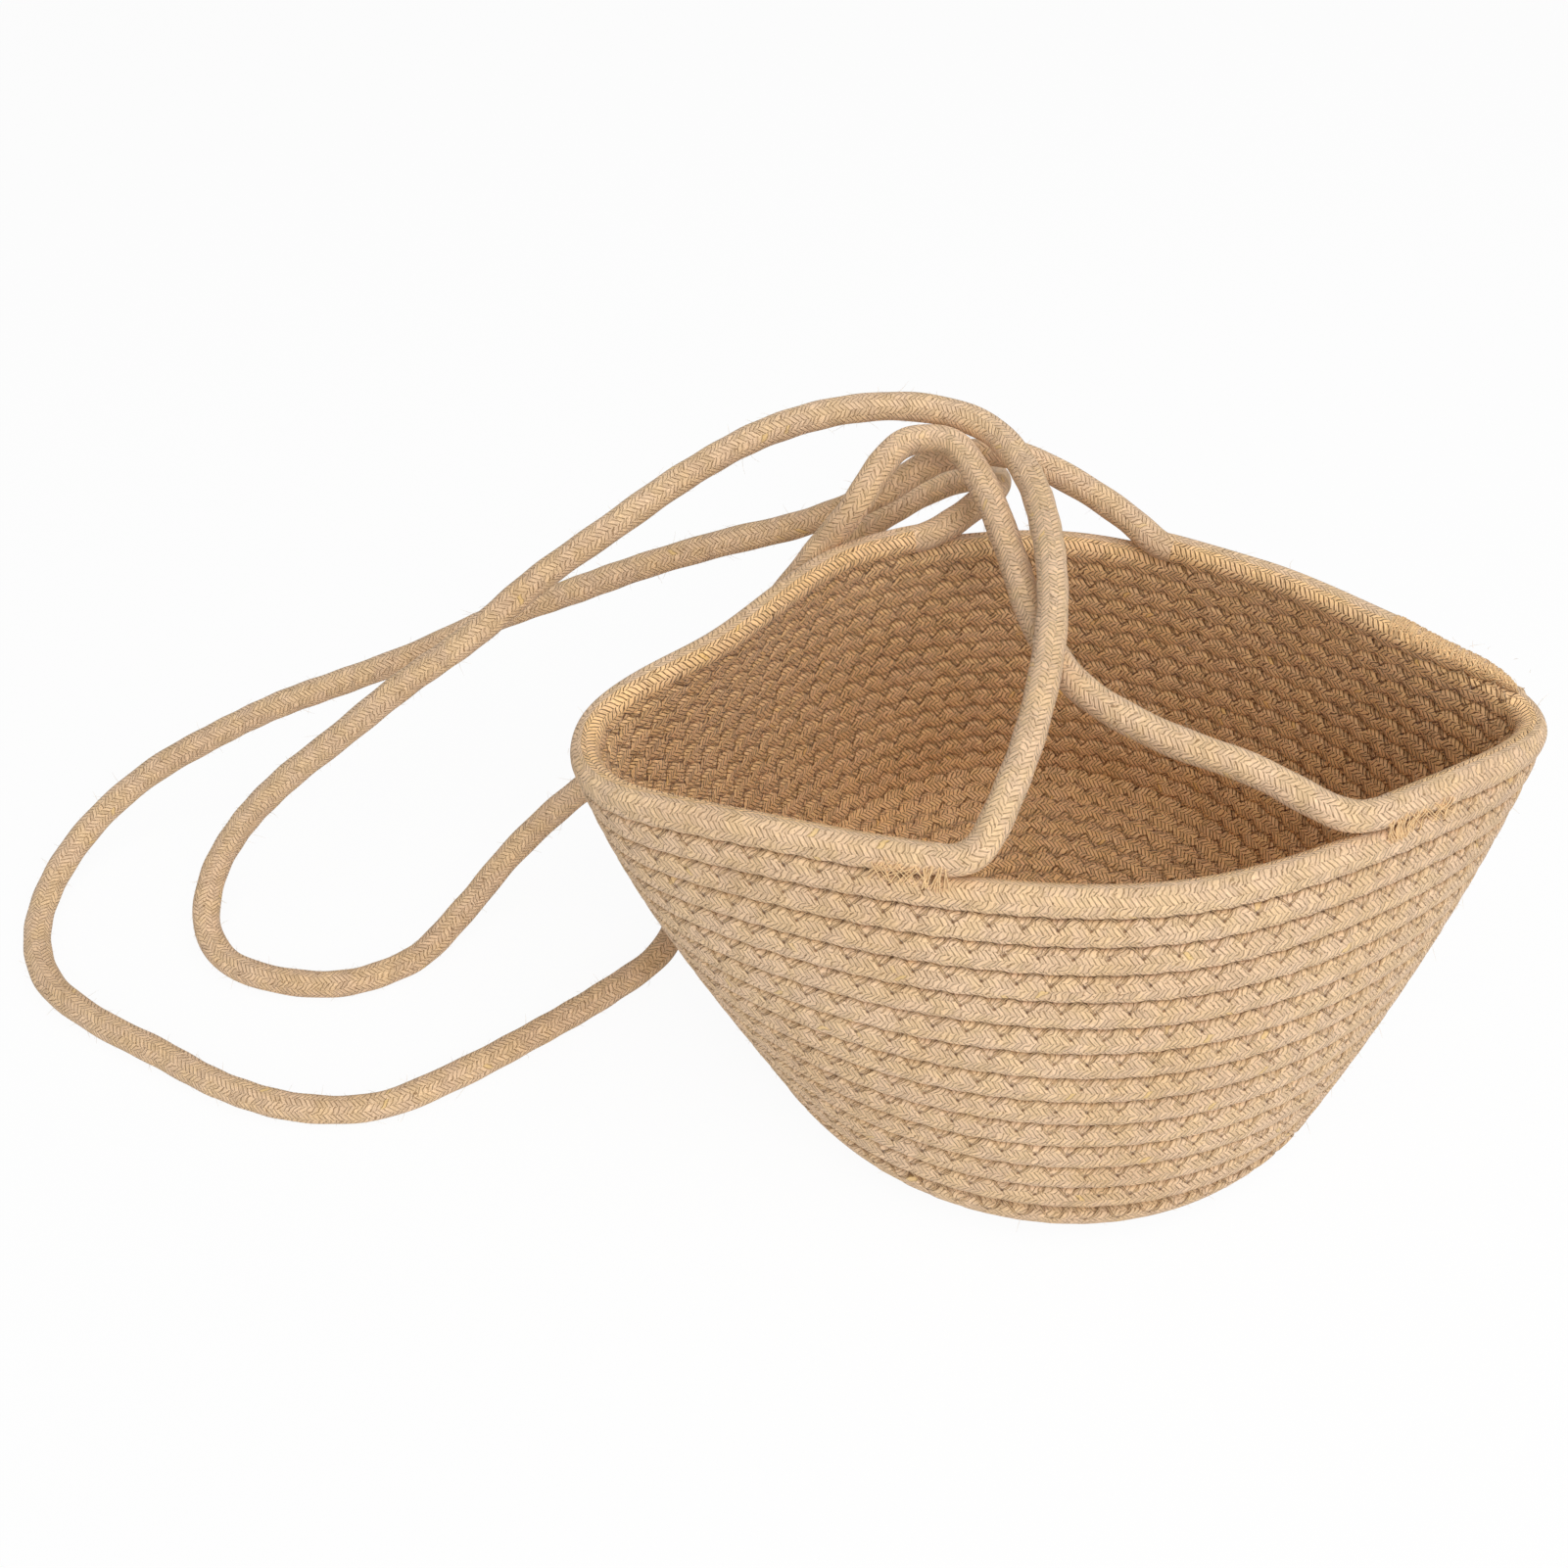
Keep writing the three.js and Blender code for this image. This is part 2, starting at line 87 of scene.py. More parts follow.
# The ropes' centrelines between the places where they leave the rim and come back to it
LYING = CORD / 2 + 0.0002
ROPE_LEAD = 0.004
FRONT_ROUTE = [
    (0.066, -0.043, 0.12), (0.044, -0.032, 0.125), (0.02, -0.022, 0.1285), (0.002, -0.007, 0.131),
    (-0.007, 0.015, 0.134), (-0.012, 0.041, 0.1385), (-0.018, 0.064, 0.144), (-0.026, 0.078, 0.148),
    (-0.039, 0.078, 0.148), (-0.047, 0.069, 0.145), (-0.054, 0.06, 0.138), (-0.062, 0.06, 0.126),
    (-0.071, 0.0565, 0.114), (-0.079, 0.056, 0.102), (-0.095, 0.0515, 0.082),
    (-0.112, 0.043, 0.0665), (-0.13, 0.037, 0.0545), (-0.1455, 0.0345, 0.0405),
    (-0.1615, 0.029, 0.025), (-0.176, 0.019, 0.011), (-0.191, 0.004, LYING), (-0.21, -0.005, LYING),
    (-0.2315, -0.004, LYING), (-0.2495, 0.0035, LYING), (-0.258, 0.015, 0.008),
    (-0.2565, 0.027, 0.018), (-0.246, 0.0335, 0.0335), (-0.229, 0.0365, 0.0515),
    (-0.2095, 0.0395, 0.0675), (-0.188, 0.045, 0.084), (-0.166, 0.05, 0.099),
    (-0.146, 0.059, 0.113), (-0.124, 0.067, 0.126), (-0.102, 0.079, 0.136), (-0.0795, 0.087, 0.145),
    (-0.055, 0.09, 0.151), (-0.032, 0.089, 0.152), (-0.015, 0.08, 0.151), (-0.006, 0.061, 0.149),
    (-0.003, 0.036, 0.147), (-0.004, 0.01, 0.1435), (-0.009, -0.016, 0.1385),
    (-0.017, -0.039, 0.131), (-0.028, -0.057, 0.121),
]
REAR_ROUTE = [
    (-0.026, 0.068, 0.126), (-0.013, 0.083, 0.126), (-0.008, 0.1, 0.119), (-0.011, 0.114, 0.111),
    (-0.024, 0.119, 0.103), (-0.039, 0.114, 0.097), (-0.054, 0.113, 0.084), (-0.064, 0.111, 0.064),
    (-0.078, 0.102, 0.046), (-0.089, 0.088, 0.028), (-0.098, 0.07, 0.013), (-0.104, 0.047, 0.006),
    (-0.107, 0.025, LYING), (-0.113, 0.007, LYING), (-0.1285, -0.0085, LYING),
    (-0.15, -0.025, LYING), (-0.172, -0.04, LYING), (-0.193, -0.0505, LYING),
    (-0.216, -0.051, LYING), (-0.239, -0.044, LYING), (-0.263, -0.031, LYING),
    (-0.286, -0.0185, LYING), (-0.304, -0.004, LYING), (-0.313, 0.015, 0.005),
    (-0.312, 0.034, 0.009), (-0.302, 0.051, 0.017), (-0.284, 0.063, 0.028),
    (-0.2615, 0.069, 0.0395), (-0.2385, 0.073, 0.05), (-0.2145, 0.074, 0.06), (-0.19, 0.077, 0.069),
    (-0.167, 0.085, 0.076), (-0.142, 0.089, 0.084), (-0.118, 0.091, 0.093), (-0.093, 0.091, 0.102),
    (-0.068, 0.089, 0.111), (-0.046, 0.087, 0.123), (-0.027, 0.09, 0.134), (-0.007, 0.088, 0.137),
    (0.011, 0.0815, 0.132), (0.027, 0.0695, 0.127),
]

# The zig-zag seam between two courses. Heights count from the groove, toward the upper course.
STITCH = 0.0084
RINGS_PER_STITCH = 12
HOLE_BELOW = 0.0027
PEAK_ABOVE = 0.0006
INNER_REACH = 0.0026
HOLE_RADIUS, HOLE_DEPTH = 0.0009, 0.0005
OUTER_CREASE, OUTER_CREASE_DEPTH = 0.0014, 0.00038
INNER_CREASE, INNER_CREASE_DEPTH = 0.0008, 0.0005
GROOVE_WAVE = 0.0002
GROOVE_WANDER = 0.00005
ARCHED = 0.85
OUT_OF_REACH = 0.03

# Rows of points round the cord's section, as shares of its half height
OUTER_ROWS = [-0.96, -0.84, -0.66, -0.44, -0.18, 0.1, 0.33, 0.5, 0.65, 0.8, 0.95]
INNER_ROWS = [0.93, 0.8, 0.64, 0.46, 0.25, 0, -0.25, -0.46, -0.64, -0.8, -0.93]
ROWS = np.array([-1, *OUTER_ROWS, 1, *INNER_ROWS])
SIDES = np.array([0] + [1] * len(OUTER_ROWS) + [0] + [-1] * len(INNER_ROWS))
OUTER_SQUARENESS = 4.0
INNER_SQUARENESS = 5.0
PINCHED_SQUARENESS = 8.5
OVERLAP = 1.005
DEEPEST_SEAM = 0.6
GROOVE_SHARPNESS = 14
WALL_CUTS = [0, 3.5, 6.5, 9.5, 12.5]
END_ROUNDING = 0.015

# The hanging ropes are a little thicker than the sewn cord, except at their ends. Their curves
# are softened over a few rings, and less so near the ends.
SPAN_SHARES = np.arange(80)[:, None] / 80
ROPE_RING = 0.0005
ROPE_SIDES = 40
ROPE_RADIUS = 0.00415
ROPE_SWELL = 0.01
ROPE_SOFTENED, ROPE_ENDS_KEPT = 5, 16
COARSE_UNEVENNESS, FINE_UNEVENNESS = 0.00008, 0.00006

# Radii of the threads, and the length in which a thread's plies turn once
OUTER_THREAD = 0.00012
INNER_THREAD = 0.00014
TACK_THREAD = 0.00017
WHIPPING_THREAD = 0.00013
SEAM_TWIST = 0.0007
STRAW_TWIST = 0.0009

# How the zig-zag thread lies in its seam: steps to each leg, and how deep it is drawn in
THREAD_STEPS = 8
THREAD_SUNK = 0.7
LOOP_SUNK = 0.0009
HIGHEST_ROW = 0.87
CROSSING = 0.0012

# Loose fibres: their radius along their length, and the least and the further length of one
FIBRE_RADII = 0.00005 * np.array([1, 0.85, 0.6, 0.3])
FIBRE_LEAST, FIBRE_FURTHER = 0.0009, 0.0026
FIBRE_ROOTED = 0.00015
ABOVE_GROUND = 0.0001

# Hand stitches of a tack, from the rope's joint along the cord: a bundle, and looser crosses
BUNDLED = 0.45
BUNDLE_START, BUNDLE_LENGTH, BUNDLE_REACH = -0.0045, 0.006, 0.0026
CROSS_START, CROSS_LENGTH, CROSS_REACH = 0.001, 0.0135, 0.0022
CROSS_SLANT = 0.0018
LONG_STITCH_SLANT = 0.0042
TACK_SQUARENESS = 3.0

# Stitches over the thinned end: where round the cord they start, and how far round they go
WHIPPING_STARTS = [-0.3, 0.2, 0.7, 1.2]
WHIPPING_ARC, WHIPPING_FURTHER = 1.3, 0.9
WHIPPING_FROM, WHIPPING_BEYOND = 0.001, 0.002

FIRST_TACK_SEED, WHIPPING_SEED, FIBRE_SEED = 3, 11, 5


def unit(vectors):
    return vectors / np.linalg.norm(vectors, axis=-1, keepdims=True)


def smooth(share):
    share = np.clip(share, 0, 1)
    return share * share * (3 - 2 * share)


def hermite(start, end, leaving, arriving, share):
    square = 3 * (end - start) - 2 * leaving - arriving
    cube = 2 * (start - end) + leaving + arriving
    return start + share * (leaving + share * (square + share * cube))


def walk(points):
    """The length walked along a curve at each of its points."""
    return np.concatenate([[0], np.linalg.norm(np.diff(points, axis=0), axis=1).cumsum()])


def section_rings(centre, across, rise, out, up):
    """Rings of points round a curve, each a distance out and a distance up from it."""
    return centre[:, None] + across[..., None] * out[:, None] + rise[..., None] * up[:, None]


# The cord's path. A place on it is counted in turns: 0 at the foot, negative on the floor,
# positive up the wall. It runs clockwise, seen from above.

def angle_of(turn):
    return -np.pi / 2 - 2 * np.pi * turn


def turn_on_rim(degrees):
    return COURSES + 0.75 + (360 - degrees) / 360


def floor_point(turn):
    turned = FLOOR_TURNS + turn
    left = 1 - turned / FLOOR_TURNS
    behind_core = (1 + np.cos(2 * np.pi * turned)) / 2
    radius = FLOOR_PITCH * (turned + 0.5 - TUCK_BEHIND_CORE * behind_core**2 * left)
    angle = angle_of(turn)
    x = FOOT_SHIFT + (radius + CORD / 2 * left) * np.cos(angle)
    return np.stack([x, radius * np.sin(angle), np.full_like(x, FLOOR_HEIGHT)], -1)


def rim_point(angle):
    place = np.mod(angle / (2 * np.pi), 1) * len(RIM_OUTLINE)
    first = np.floor(place).astype(int)
    before, start, end, after = (
        RIM_OUTLINE[(first + k) % len(RIM_OUTLINE)] for k in (-1, 0, 1, 2)
    )
    return hermite(start, end, (end - before) / 2, (after - start) / 2, (place - first)[:, None])


def rise_of(course, low_lean, top_lean):
    def wall_rise(n):
        return np.pi / 2 - low_lean - (top_lean - low_lean) * (n - 1) / (COURSES - 1)

    second = FIRST_RISE + (wall_rise(2) - FIRST_RISE) * (course - 1)
    first = FIRST_RISE * np.maximum(course, 0)
    return np.where(course <= 1, first, np.where(course <= 2, second, wall_rise(course)))


def wall_at(angle):
    outward = np.stack([np.cos(angle), np.sin(angle), 0 * angle], -1)
    sideways = np.stack([-np.sin(angle), np.cos(angle), 0 * angle], -1)
    mean = (LEAN_RIGHT + LEAN_BACK + LEAN_LEFT + LEAN_FRONT) / 4
    oval = (LEAN_RIGHT + LEAN_LEFT - LEAN_BACK - LEAN_FRONT) / 4
    to_right = (LEAN_RIGHT - LEAN_LEFT) / 2
    to_back = (LEAN_BACK - LEAN_FRONT) / 2
    low_lean = mean + oval * np.cos(2 * angle) + to_right * np.cos(angle) + to_back * np.sin(angle)
    to_rim = rim_point(angle) - [FOOT_SHIFT, 0, 0]
    reach = (to_rim * outward).sum(-1) - FOOT_RADIUS
    least, most = np.full_like(angle, -np.pi / 2), np.full_like(angle, np.pi / 2)
    for _ in range(LEAN_HALVINGS):
        lean = (least + most) / 2
        reached = sum(
            CORD * np.cos(rise_of(np.full_like(angle, course), low_lean, lean))
            for course in range(1, COURSES + 1)
        )
        least = np.where(reached < reach, lean, least)
        most = np.where(reached < reach, most, lean)
    return outward, sideways, (to_rim * sideways).sum(-1) / COURSES, low_lean, least


def cord_point(turn):
    outward, sideways, shift, low_lean, top_lean = wall_at(angle_of(turn))
    climb = np.zeros((len(turn), 3))
    below = turn.copy()
    while (below > 0).any():
        climbing = below > 0
        rise = rise_of(below, low_lean, top_lean)
        share = np.minimum(below, 1)
        pitch = FLOOR_PITCH + (CORD - FLOOR_PITCH) * share
        step = (pitch * np.cos(rise))[:, None] * outward
        step += (shift * share)[:, None] * sideways
        step[:, 2] += pitch * np.sin(rise)
        climb += np.where(climbing[:, None], step, 0)
        below = np.where(climbing, below - 1, below)
    return floor_point(below) + climb


# The cord's start in the middle of the floor: a straight core, then a half turn back along it
FIRST_TURN = 0.5 - FLOOR_TURNS
START_TURN_LENGTH = 2 * np.pi * FLOOR_PITCH
START_LENGTH = FIRST_FOLD + np.pi * FLOOR_PITCH / 2 + CORD


def start_point(turn):
    back = (FIRST_TURN - turn) * START_TURN_LENGTH
    bend = FLOOR_PITCH / 2
    turned = np.clip((back - FIRST_FOLD) / bend, 0, np.pi)
    core = np.maximum(back - FIRST_FOLD - np.pi * bend, 0)
    x = FOOT_SHIFT + np.minimum(back, FIRST_FOLD) + bend * np.sin(turned) - core
    return np.stack([x, -bend * (1 + np.cos(turned)), np.full_like(x, FLOOR_HEIGHT)], -1)


CORE_TURN = FIRST_TURN - START_LENGTH / START_TURN_LENGTH


def centreline(turn):
    points = cord_point(np.maximum(turn, FIRST_TURN))
    return np.where((turn < FIRST_TURN)[:, None], start_point(turn), points) + BASKET_SHIFT


def frames(turn):
    """The cord's centre and the axes of its section: along it, up to the next turn, and out."""
    turn = np.atleast_1d(np.asarray(turn, float))
    nearby = 0.0006
    along = unit(centreline(turn + nearby) - centreline(turn - nearby))
    to_next = cord_point(turn + 1) - cord_point(turn - 1)
    sideways = np.cross([0, 0, 1], along)
    to_next = np.where((turn < FIRST_TURN)[:, None], sideways, to_next)
    up = unit(to_next - (to_next * along).sum(-1, keepdims=True) * along)
    return centreline(turn), along, up, np.cross(up, along)


# The core's free end is pushed into the bend of the first turn, so the floor has no hole
CORE_END = 0.0032
CORE_END_TURN = CORE_TURN - CORE_END / START_TURN_LENGTH

TURN_GRID = np.linspace(CORE_END_TURN, turn_on_rim(CORD_ENDS), 24000)
LENGTH_GRID = walk(centreline(TURN_GRID)) - CORE_END
# Stitches are a little uneven
PHASE_GRID = LENGTH_GRID / STITCH + 0.06 * np.sin(LENGTH_GRID / 0.037)
PHASE_GRID += 0.04 * np.sin(LENGTH_GRID / 0.0113)

WALL_END = turn_on_rim(LEAVES_FRONT_RIGHT)
LEFT_RIM = (turn_on_rim(JOINS_FRONT_LEFT), turn_on_rim(LEAVES_BACK_LEFT))
RIGHT_RIM = (turn_on_rim(JOINS_BACK_RIGHT), turn_on_rim(CORD_ENDS))
OUTER_SEAM_START = 0.4
INNER_SEAM_START = CORE_TURN + 0.6
SEWN = [(CORE_TURN + 1, WALL_END), LEFT_RIM, RIGHT_RIM]


def length_at(turn):
    return np.interp(turn, TURN_GRID, LENGTH_GRID)


def turn_at_length(length):
    return np.interp(length, LENGTH_GRID, TURN_GRID)


def phase_at(turn):
    return np.interp(turn, TURN_GRID, PHASE_GRID)


def turn_at_phase(phase):
    return np.interp(phase, PHASE_GRID, TURN_GRID)


def course_here(turn, fade=0.004):
    """1 where a course of the cord lies at this turn, fading to 0 past its ends."""
    inside = np.zeros_like(turn)
    for first, last in SEWN:
        reach = np.minimum(turn - first, last - turn)
        inside = np.maximum(inside, smooth(reach / fade + 0.5))
    return inside


def chance(number, seed=0.0):
    """A fixed random share for each whole number."""
    return np.mod(np.sin(number * 12.9898 + seed * 78.233) * 43758.5453, 1)


# Meshes

def tube_faces(tubes, rings, sides):
    corner = np.arange(tubes * rings * sides).reshape(tubes, rings, sides)
    beside = np.roll(corner, -1, 2)
    quads = np.stack([corner[:, :-1], beside[:, :-1], beside[:, 1:], corner[:, 1:]], -1)
    return quads.reshape(-1, 4), np.concatenate([corner[:, 0, ::-1], corner[:, -1]])


def fill(data, key, values, kind=np.float32):
    data.foreach_set(key, np.ravel(values).astype(kind))


def new_piece(name, rings, material, slot, lengths=None, around=None, **attributes):
    """Closed tubes through rings of points, shaped (tubes, rings, sides, 3)."""
    shape = tubes, count, sides = rings.shape[:3]
    quads, caps = tube_faces(tubes, count, sides)
    loops = np.concatenate([quads.ravel(), caps.ravel()])
    starts = np.concatenate([np.arange(len(quads)) * 4, quads.size + np.arange(len(caps)) * sides])
    mesh = bpy.data.meshes.new(name)
    mesh.vertices.add(rings.size // 3)
    fill(mesh.vertices, "co", rings)
    mesh.loops.add(len(loops))
    fill(mesh.loops, "vertex_index", loops, np.int32)
    mesh.polygons.add(len(starts))
    fill(mesh.polygons, "loop_start", starts, np.int32)
    fill(mesh.polygons, "use_smooth", np.arange(len(starts)) < len(quads), bool)
    if lengths is None:
        steps = np.linalg.norm(np.diff(rings.mean(2), axis=1), axis=-1)
        lengths = np.concatenate([np.zeros((tubes, 1)), steps.cumsum(1)], 1)
    if around is None:
        around = np.arange(sides) / sides
    u = np.broadcast_to(lengths[..., None], shape).ravel()[loops]
    v = np.broadcast_to(around, shape).ravel()[loops]
    # In the last column of faces, the share round the tube runs on to 1
    v[:quads.size].reshape(tubes, count - 1, sides, 4)[:, :, -1, 1:3] += 1
    fill(mesh.uv_layers.new(name="cord").data, "uv", np.stack([u, v], -1))
    for key, values in attributes.items():
        fill(mesh.attributes.new(key, "FLOAT", "POINT").data, "value", values)
    mesh.update(calc_edges=True)
    ends = np.zeros(len(mesh.edges) * 2, np.int32)
    mesh.edges.foreach_get("vertices", ends)
    ring = ends.reshape(-1, 2) // sides % count
    at_end = (ring == 0).all(1) | (ring == count - 1).all(1)
    fill(mesh.edges, "use_edge_sharp", at_end, bool)
    mesh.materials.append(material)
    piece = bpy.data.objects.new(name, mesh)
    bpy.context.scene.collection.objects.link(piece)
    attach(piece, "root")
    return piece


def squareness_at(turn, outside):
    """How flat the cord is pressed: more so inside the left corner, where the wall leans back."""
    if outside:
        return np.full_like(turn, OUTER_SQUARENESS)
    pinched = smooth((-np.cos(angle_of(turn)) - 0.2) / 0.8) * smooth(turn)
    return INNER_SQUARENESS + (PINCHED_SQUARENESS - INNER_SQUARENESS) * pinched


def face_level(row, squareness):
    """How far the cord's face stands off its centreline at a share of its half height."""
    return CORD / 2 * (1 - np.abs(row) ** squareness) ** (1 / squareness)


def seam_line(phase, outside):
    """Height of the zig-zag at a place, and how far along from the nearest needle hole it is."""
    low, high = (-HOLE_BELOW, PEAK_ABOVE) if outside else (-INNER_REACH, INNER_REACH)
    off = phase - np.round(phase)
    share = 2 * np.abs(off)
    if outside:
        share = share + ARCHED * (np.sin(np.pi * np.abs(off)) - share)
    return low + (high - low) * share, off


def seam_depth(phase, height, outside):
    """How deep the seam draws in the cord's face."""
    line, off = seam_line(phase, outside)
    tension = 0.75 + 0.5 * chance(np.round(phase), 1 if outside else 2)
    if outside:
        hole = np.exp(-((off * STITCH) ** 2 + (height + HOLE_BELOW) ** 2) / HOLE_RADIUS**2)
        sunk = smooth((height - line) / OUTER_CREASE) * (1 - 2 * np.abs(off)) * (height < 0)
        return (HOLE_DEPTH * hole + OUTER_CREASE_DEPTH * sunk) * tension
    slant = np.hypot(1, 4 * INNER_REACH / STITCH)
    return INNER_CREASE_DEPTH * np.exp(-(((height - line) / slant / INNER_CREASE) ** 2)) * tension


def groove_wave(phase):
    """The groove dips where the thread pulls at it, and wanders a little."""
    wander = np.sin(4.7 * phase + 1.3 * np.sin(0.9 * phase)) + np.sin(13.1 * phase)
    return GROOVE_WANDER * wander - GROOVE_WAVE * np.cos(2 * np.pi * phase)


def sewn_rings(turn, thickness, rounded):
    """Rings of the coiled cord, drawn in by the seams above and below it, and their attributes."""
    point, _, up, out = frames(turn)
    above = course_here(turn + 1)
    below = np.where(turn < CORE_TURN + 1, 0, course_here(turn))
    half_up = np.linalg.norm(centreline(turn + 1) - point, axis=1) / 2
    half_down = np.linalg.norm(point - centreline(np.maximum(turn - 1, CORE_TURN)), axis=1) / 2
    half_up = CORD / 2 + (half_up - CORD / 2) * above
    half_down = np.where(below > 0, half_down, CORD / 2)
    seam_up, seam_down = phase_at(turn), phase_at(turn - 1)
    top = half_up * OVERLAP + groove_wave(seam_up) * above
    bottom = half_down * OVERLAP - groove_wave(seam_down) * below

    # From here on there is a row of numbers for each ring
    top, bottom, above, below, half_up, half_down, seam_up, seam_down, thick, rounded = (
        values[:, None] for values in
        (top, bottom, above, below, half_up, half_down, seam_up, seam_down, thickness, rounded)
    )
    upper_half = ROWS > 0
    rounding = np.maximum(rounded, np.where(upper_half, 1 - above, 0))
    pressed = [squareness_at(turn, outside)[:, None] for outside in (False, True)]
    squareness = np.where(SIDES < 0, *pressed)
    width = face_level(ROWS, squareness + (2 - squareness) * rounding)
    height = ROWS * np.where(upper_half, top, bottom)
    level_up, level_down = height - half_up, height + half_down
    depth = np.zeros(width.shape)
    for outside, face in ((True, SIDES == 1), (False, SIDES == -1)):
        depth += seam_depth(seam_up, level_up, outside) * above * face
        depth += seam_depth(seam_down, level_down, outside) * below * face
    width = (width - np.minimum(depth, width * DEEPEST_SEAM)) * SIDES
    centre = point - up * (CORD / 2 * (1 - thick))
    rings = section_rings(centre, width * thick, height * thick, out, up)
    rings[..., 2] = np.maximum(rings[..., 2], 0)
    full = np.ones(width.shape)
    attributes = {
        # This mask carries painted shade into the groove between two courses
        "groove": np.abs(ROWS) ** GROOVE_SHARPNESS * np.where(upper_half, above, below),
        "side": SIDES * full,
        "seam_up": seam_up * full,
        "seam_down": seam_down * full,
        "level_up": level_up - np.where(above > 0.5, 0, OUT_OF_REACH),
        "level_down": level_down + np.where(below > 0.5, 0, OUT_OF_REACH),
    }
    return rings, attributes


def shares_around():
    """How far round the cord each row of points lies: 0 to 0.5 outside, 0.5 to 1 inside."""
    loop = np.append(np.arange(len(ROWS)), 0)
    across = face_level(ROWS, OUTER_SQUARENESS) / CORD * 2 * SIDES
    steps = np.hypot(np.diff(across[loop]), np.diff(ROWS[loop]))
    top = len(OUTER_ROWS) + 1
    steps[:top] /= 2 * steps[:top].sum()
    steps[top:] /= 2 * steps[top:].sum()
    return np.concatenate([[0], steps.cumsum()[:-1]])


AROUND = shares_around()


def sewn_turns(first, last):
    phases = np.arange(
        np.ceil(phase_at(first) * RINGS_PER_STITCH + 0.3),
        phase_at(last) * RINGS_PER_STITCH - 0.3,
    ) / RINGS_PER_STITCH
    return np.concatenate([[first], turn_at_phase(phases), [last]])


def end_thickness(left):
    """The cord's thickness where this much of it is left before its thinned end."""
    tip = np.clip(1 - left / TIP_LENGTH, 0, 0.98)
    return (1 - (1 - TAPER_TIP) * np.clip(1 - left / TAPER_LENGTH, 0, 1)) * np.sqrt(1 - tip**2)


def add_sewn_cord(
    name, node, slot, material, first, last, offset=0.0, free_ends="", tapered=False
):
    """One stretch of the coiled cord. Its free ends are round, because no seam presses them."""
    turn = sewn_turns(first, last)
    walked = length_at(turn)
    left = walked[-1] - walked
    rounded = np.zeros_like(turn)
    for end, away in (("start", walked - walked[0]), ("end", left)):
        if end in free_ends:
            rounded = np.maximum(rounded, 1 - smooth(away / END_ROUNDING))
    thickness = end_thickness(left) if tapered else np.ones_like(turn)
    rings, attributes = sewn_rings(turn, thickness, rounded)
    lengths = (walked + offset)[None]
    piece = new_piece(name, rings[None], material, slot, lengths, AROUND, **attributes)
    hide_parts(node)


# The ropes

def rope_curve(leaving, route, joining):
    """Even points along a rope, through the same curve as the model's."""
    start, start_along = leaving[0][0], leaving[1][0]
    end, end_along = joining[0][0], joining[1][0]
    knots = np.concatenate([
        [start + start_along * JOINT_GAP, start + start_along * (JOINT_GAP + ROPE_LEAD)],
        np.array(route) + BASKET_SHIFT,
        [end - end_along * (JOINT_GAP + ROPE_LEAD), end - end_along * JOINT_GAP],
    ])
    spread = np.concatenate([[2 * knots[0] - knots[1]], knots, [2 * knots[-1] - knots[-2]]])
    step = np.linalg.norm(np.diff(spread, axis=0), axis=1) ** 0.5
    spans = len(knots) - 1
    p0, p1, p2, p3 = (spread[i:spans + i, None] for i in range(4))
    d0, d1, d2 = (step[i:spans + i, None, None] for i in range(3))
    leaves = ((p1 - p0) / d0 - (p2 - p0) / (d0 + d1) + (p2 - p1) / d1) * d1
    arrives = ((p2 - p1) / d1 - (p3 - p1) / (d1 + d2) + (p3 - p2) / d2) * d1
    between = hermite(p1, p2, leaves, arrives, SPAN_SHARES)
    fine = np.concatenate([start[None], between.reshape(-1, 3), knots[-1:], end[None]])
    fine[:, 2] = np.maximum(fine[:, 2], LYING)
    walked = walk(fine)
    even = np.linspace(0, walked[-1], int(walked[-1] / ROPE_RING) + 1)
    return np.stack([np.interp(even, walked, fine[:, k]) for k in range(3)], -1)


def soften(points, reach, ends):
    """Takes the small kinks out of a curve, except at its ends."""
    kernel = np.exp(-((np.arange(-3 * reach, 3 * reach + 1) / reach) ** 2) / 2)
    padded = np.pad(points, ((3 * reach, 3 * reach), (0, 0)), mode="edge")
    kernel /= kernel.sum()
    soft = np.stack([np.convolve(padded[:, k], kernel, "valid") for k in range(3)], -1)
    near_end = np.minimum(np.arange(len(points)), np.arange(len(points))[::-1])
    share = smooth(near_end / ends)[:, None]
    return points + (soft - points) * share


def carried_axes(points, first_up, last_up):
    """Axes that follow the curve without turning, except for the twist that its end asks for."""
    along = unit(np.gradient(points, axis=0))
    up = np.zeros_like(points)
    up[0] = first_up
    for i in range(1, len(points)):
        carried = up[i - 1] - along[i] * (up[i - 1] @ along[i])
        up[i] = carried / np.linalg.norm(carried)
    side = np.cross(up, along)
    twist = np.arctan2(-(last_up @ side[-1]), last_up @ up[-1])
    turned = twist * np.linspace(0, 1, len(points))[:, None]
    up = np.cos(turned) * up - np.sin(turned) * side
    return along, up, np.cross(up, along)


class Rope:
    """A rope's even centreline, with its axes and the length walked along it."""

    def __init__(self, leaves, route, joins):
        leaving, joining = frames(leaves), frames(joins)
        curve = rope_curve(leaving, route, joining)
        self.points = soften(curve, ROPE_SOFTENED, ROPE_ENDS_KEPT)
        self.points[:, 2] = np.maximum(self.points[:, 2], CORD / 2 + ABOVE_GROUND)
        self.along, self.up, self.out = carried_axes(self.points, leaving[2][0], joining[2][0])
        self.walked = walk(self.points)
        ends = smooth(np.minimum(self.walked, self.walked[-1] - self.walked) / ROPE_SWELL)
        uneven = COARSE_UNEVENNESS * np.sin(self.walked / 0.0021 + 2 * np.sin(self.walked / 0.017))
        uneven += FINE_UNEVENNESS * np.sin(self.walked / 0.0079)
        self.radius = CORD / 2 + (ROPE_RADIUS - CORD / 2 + uneven) * ends


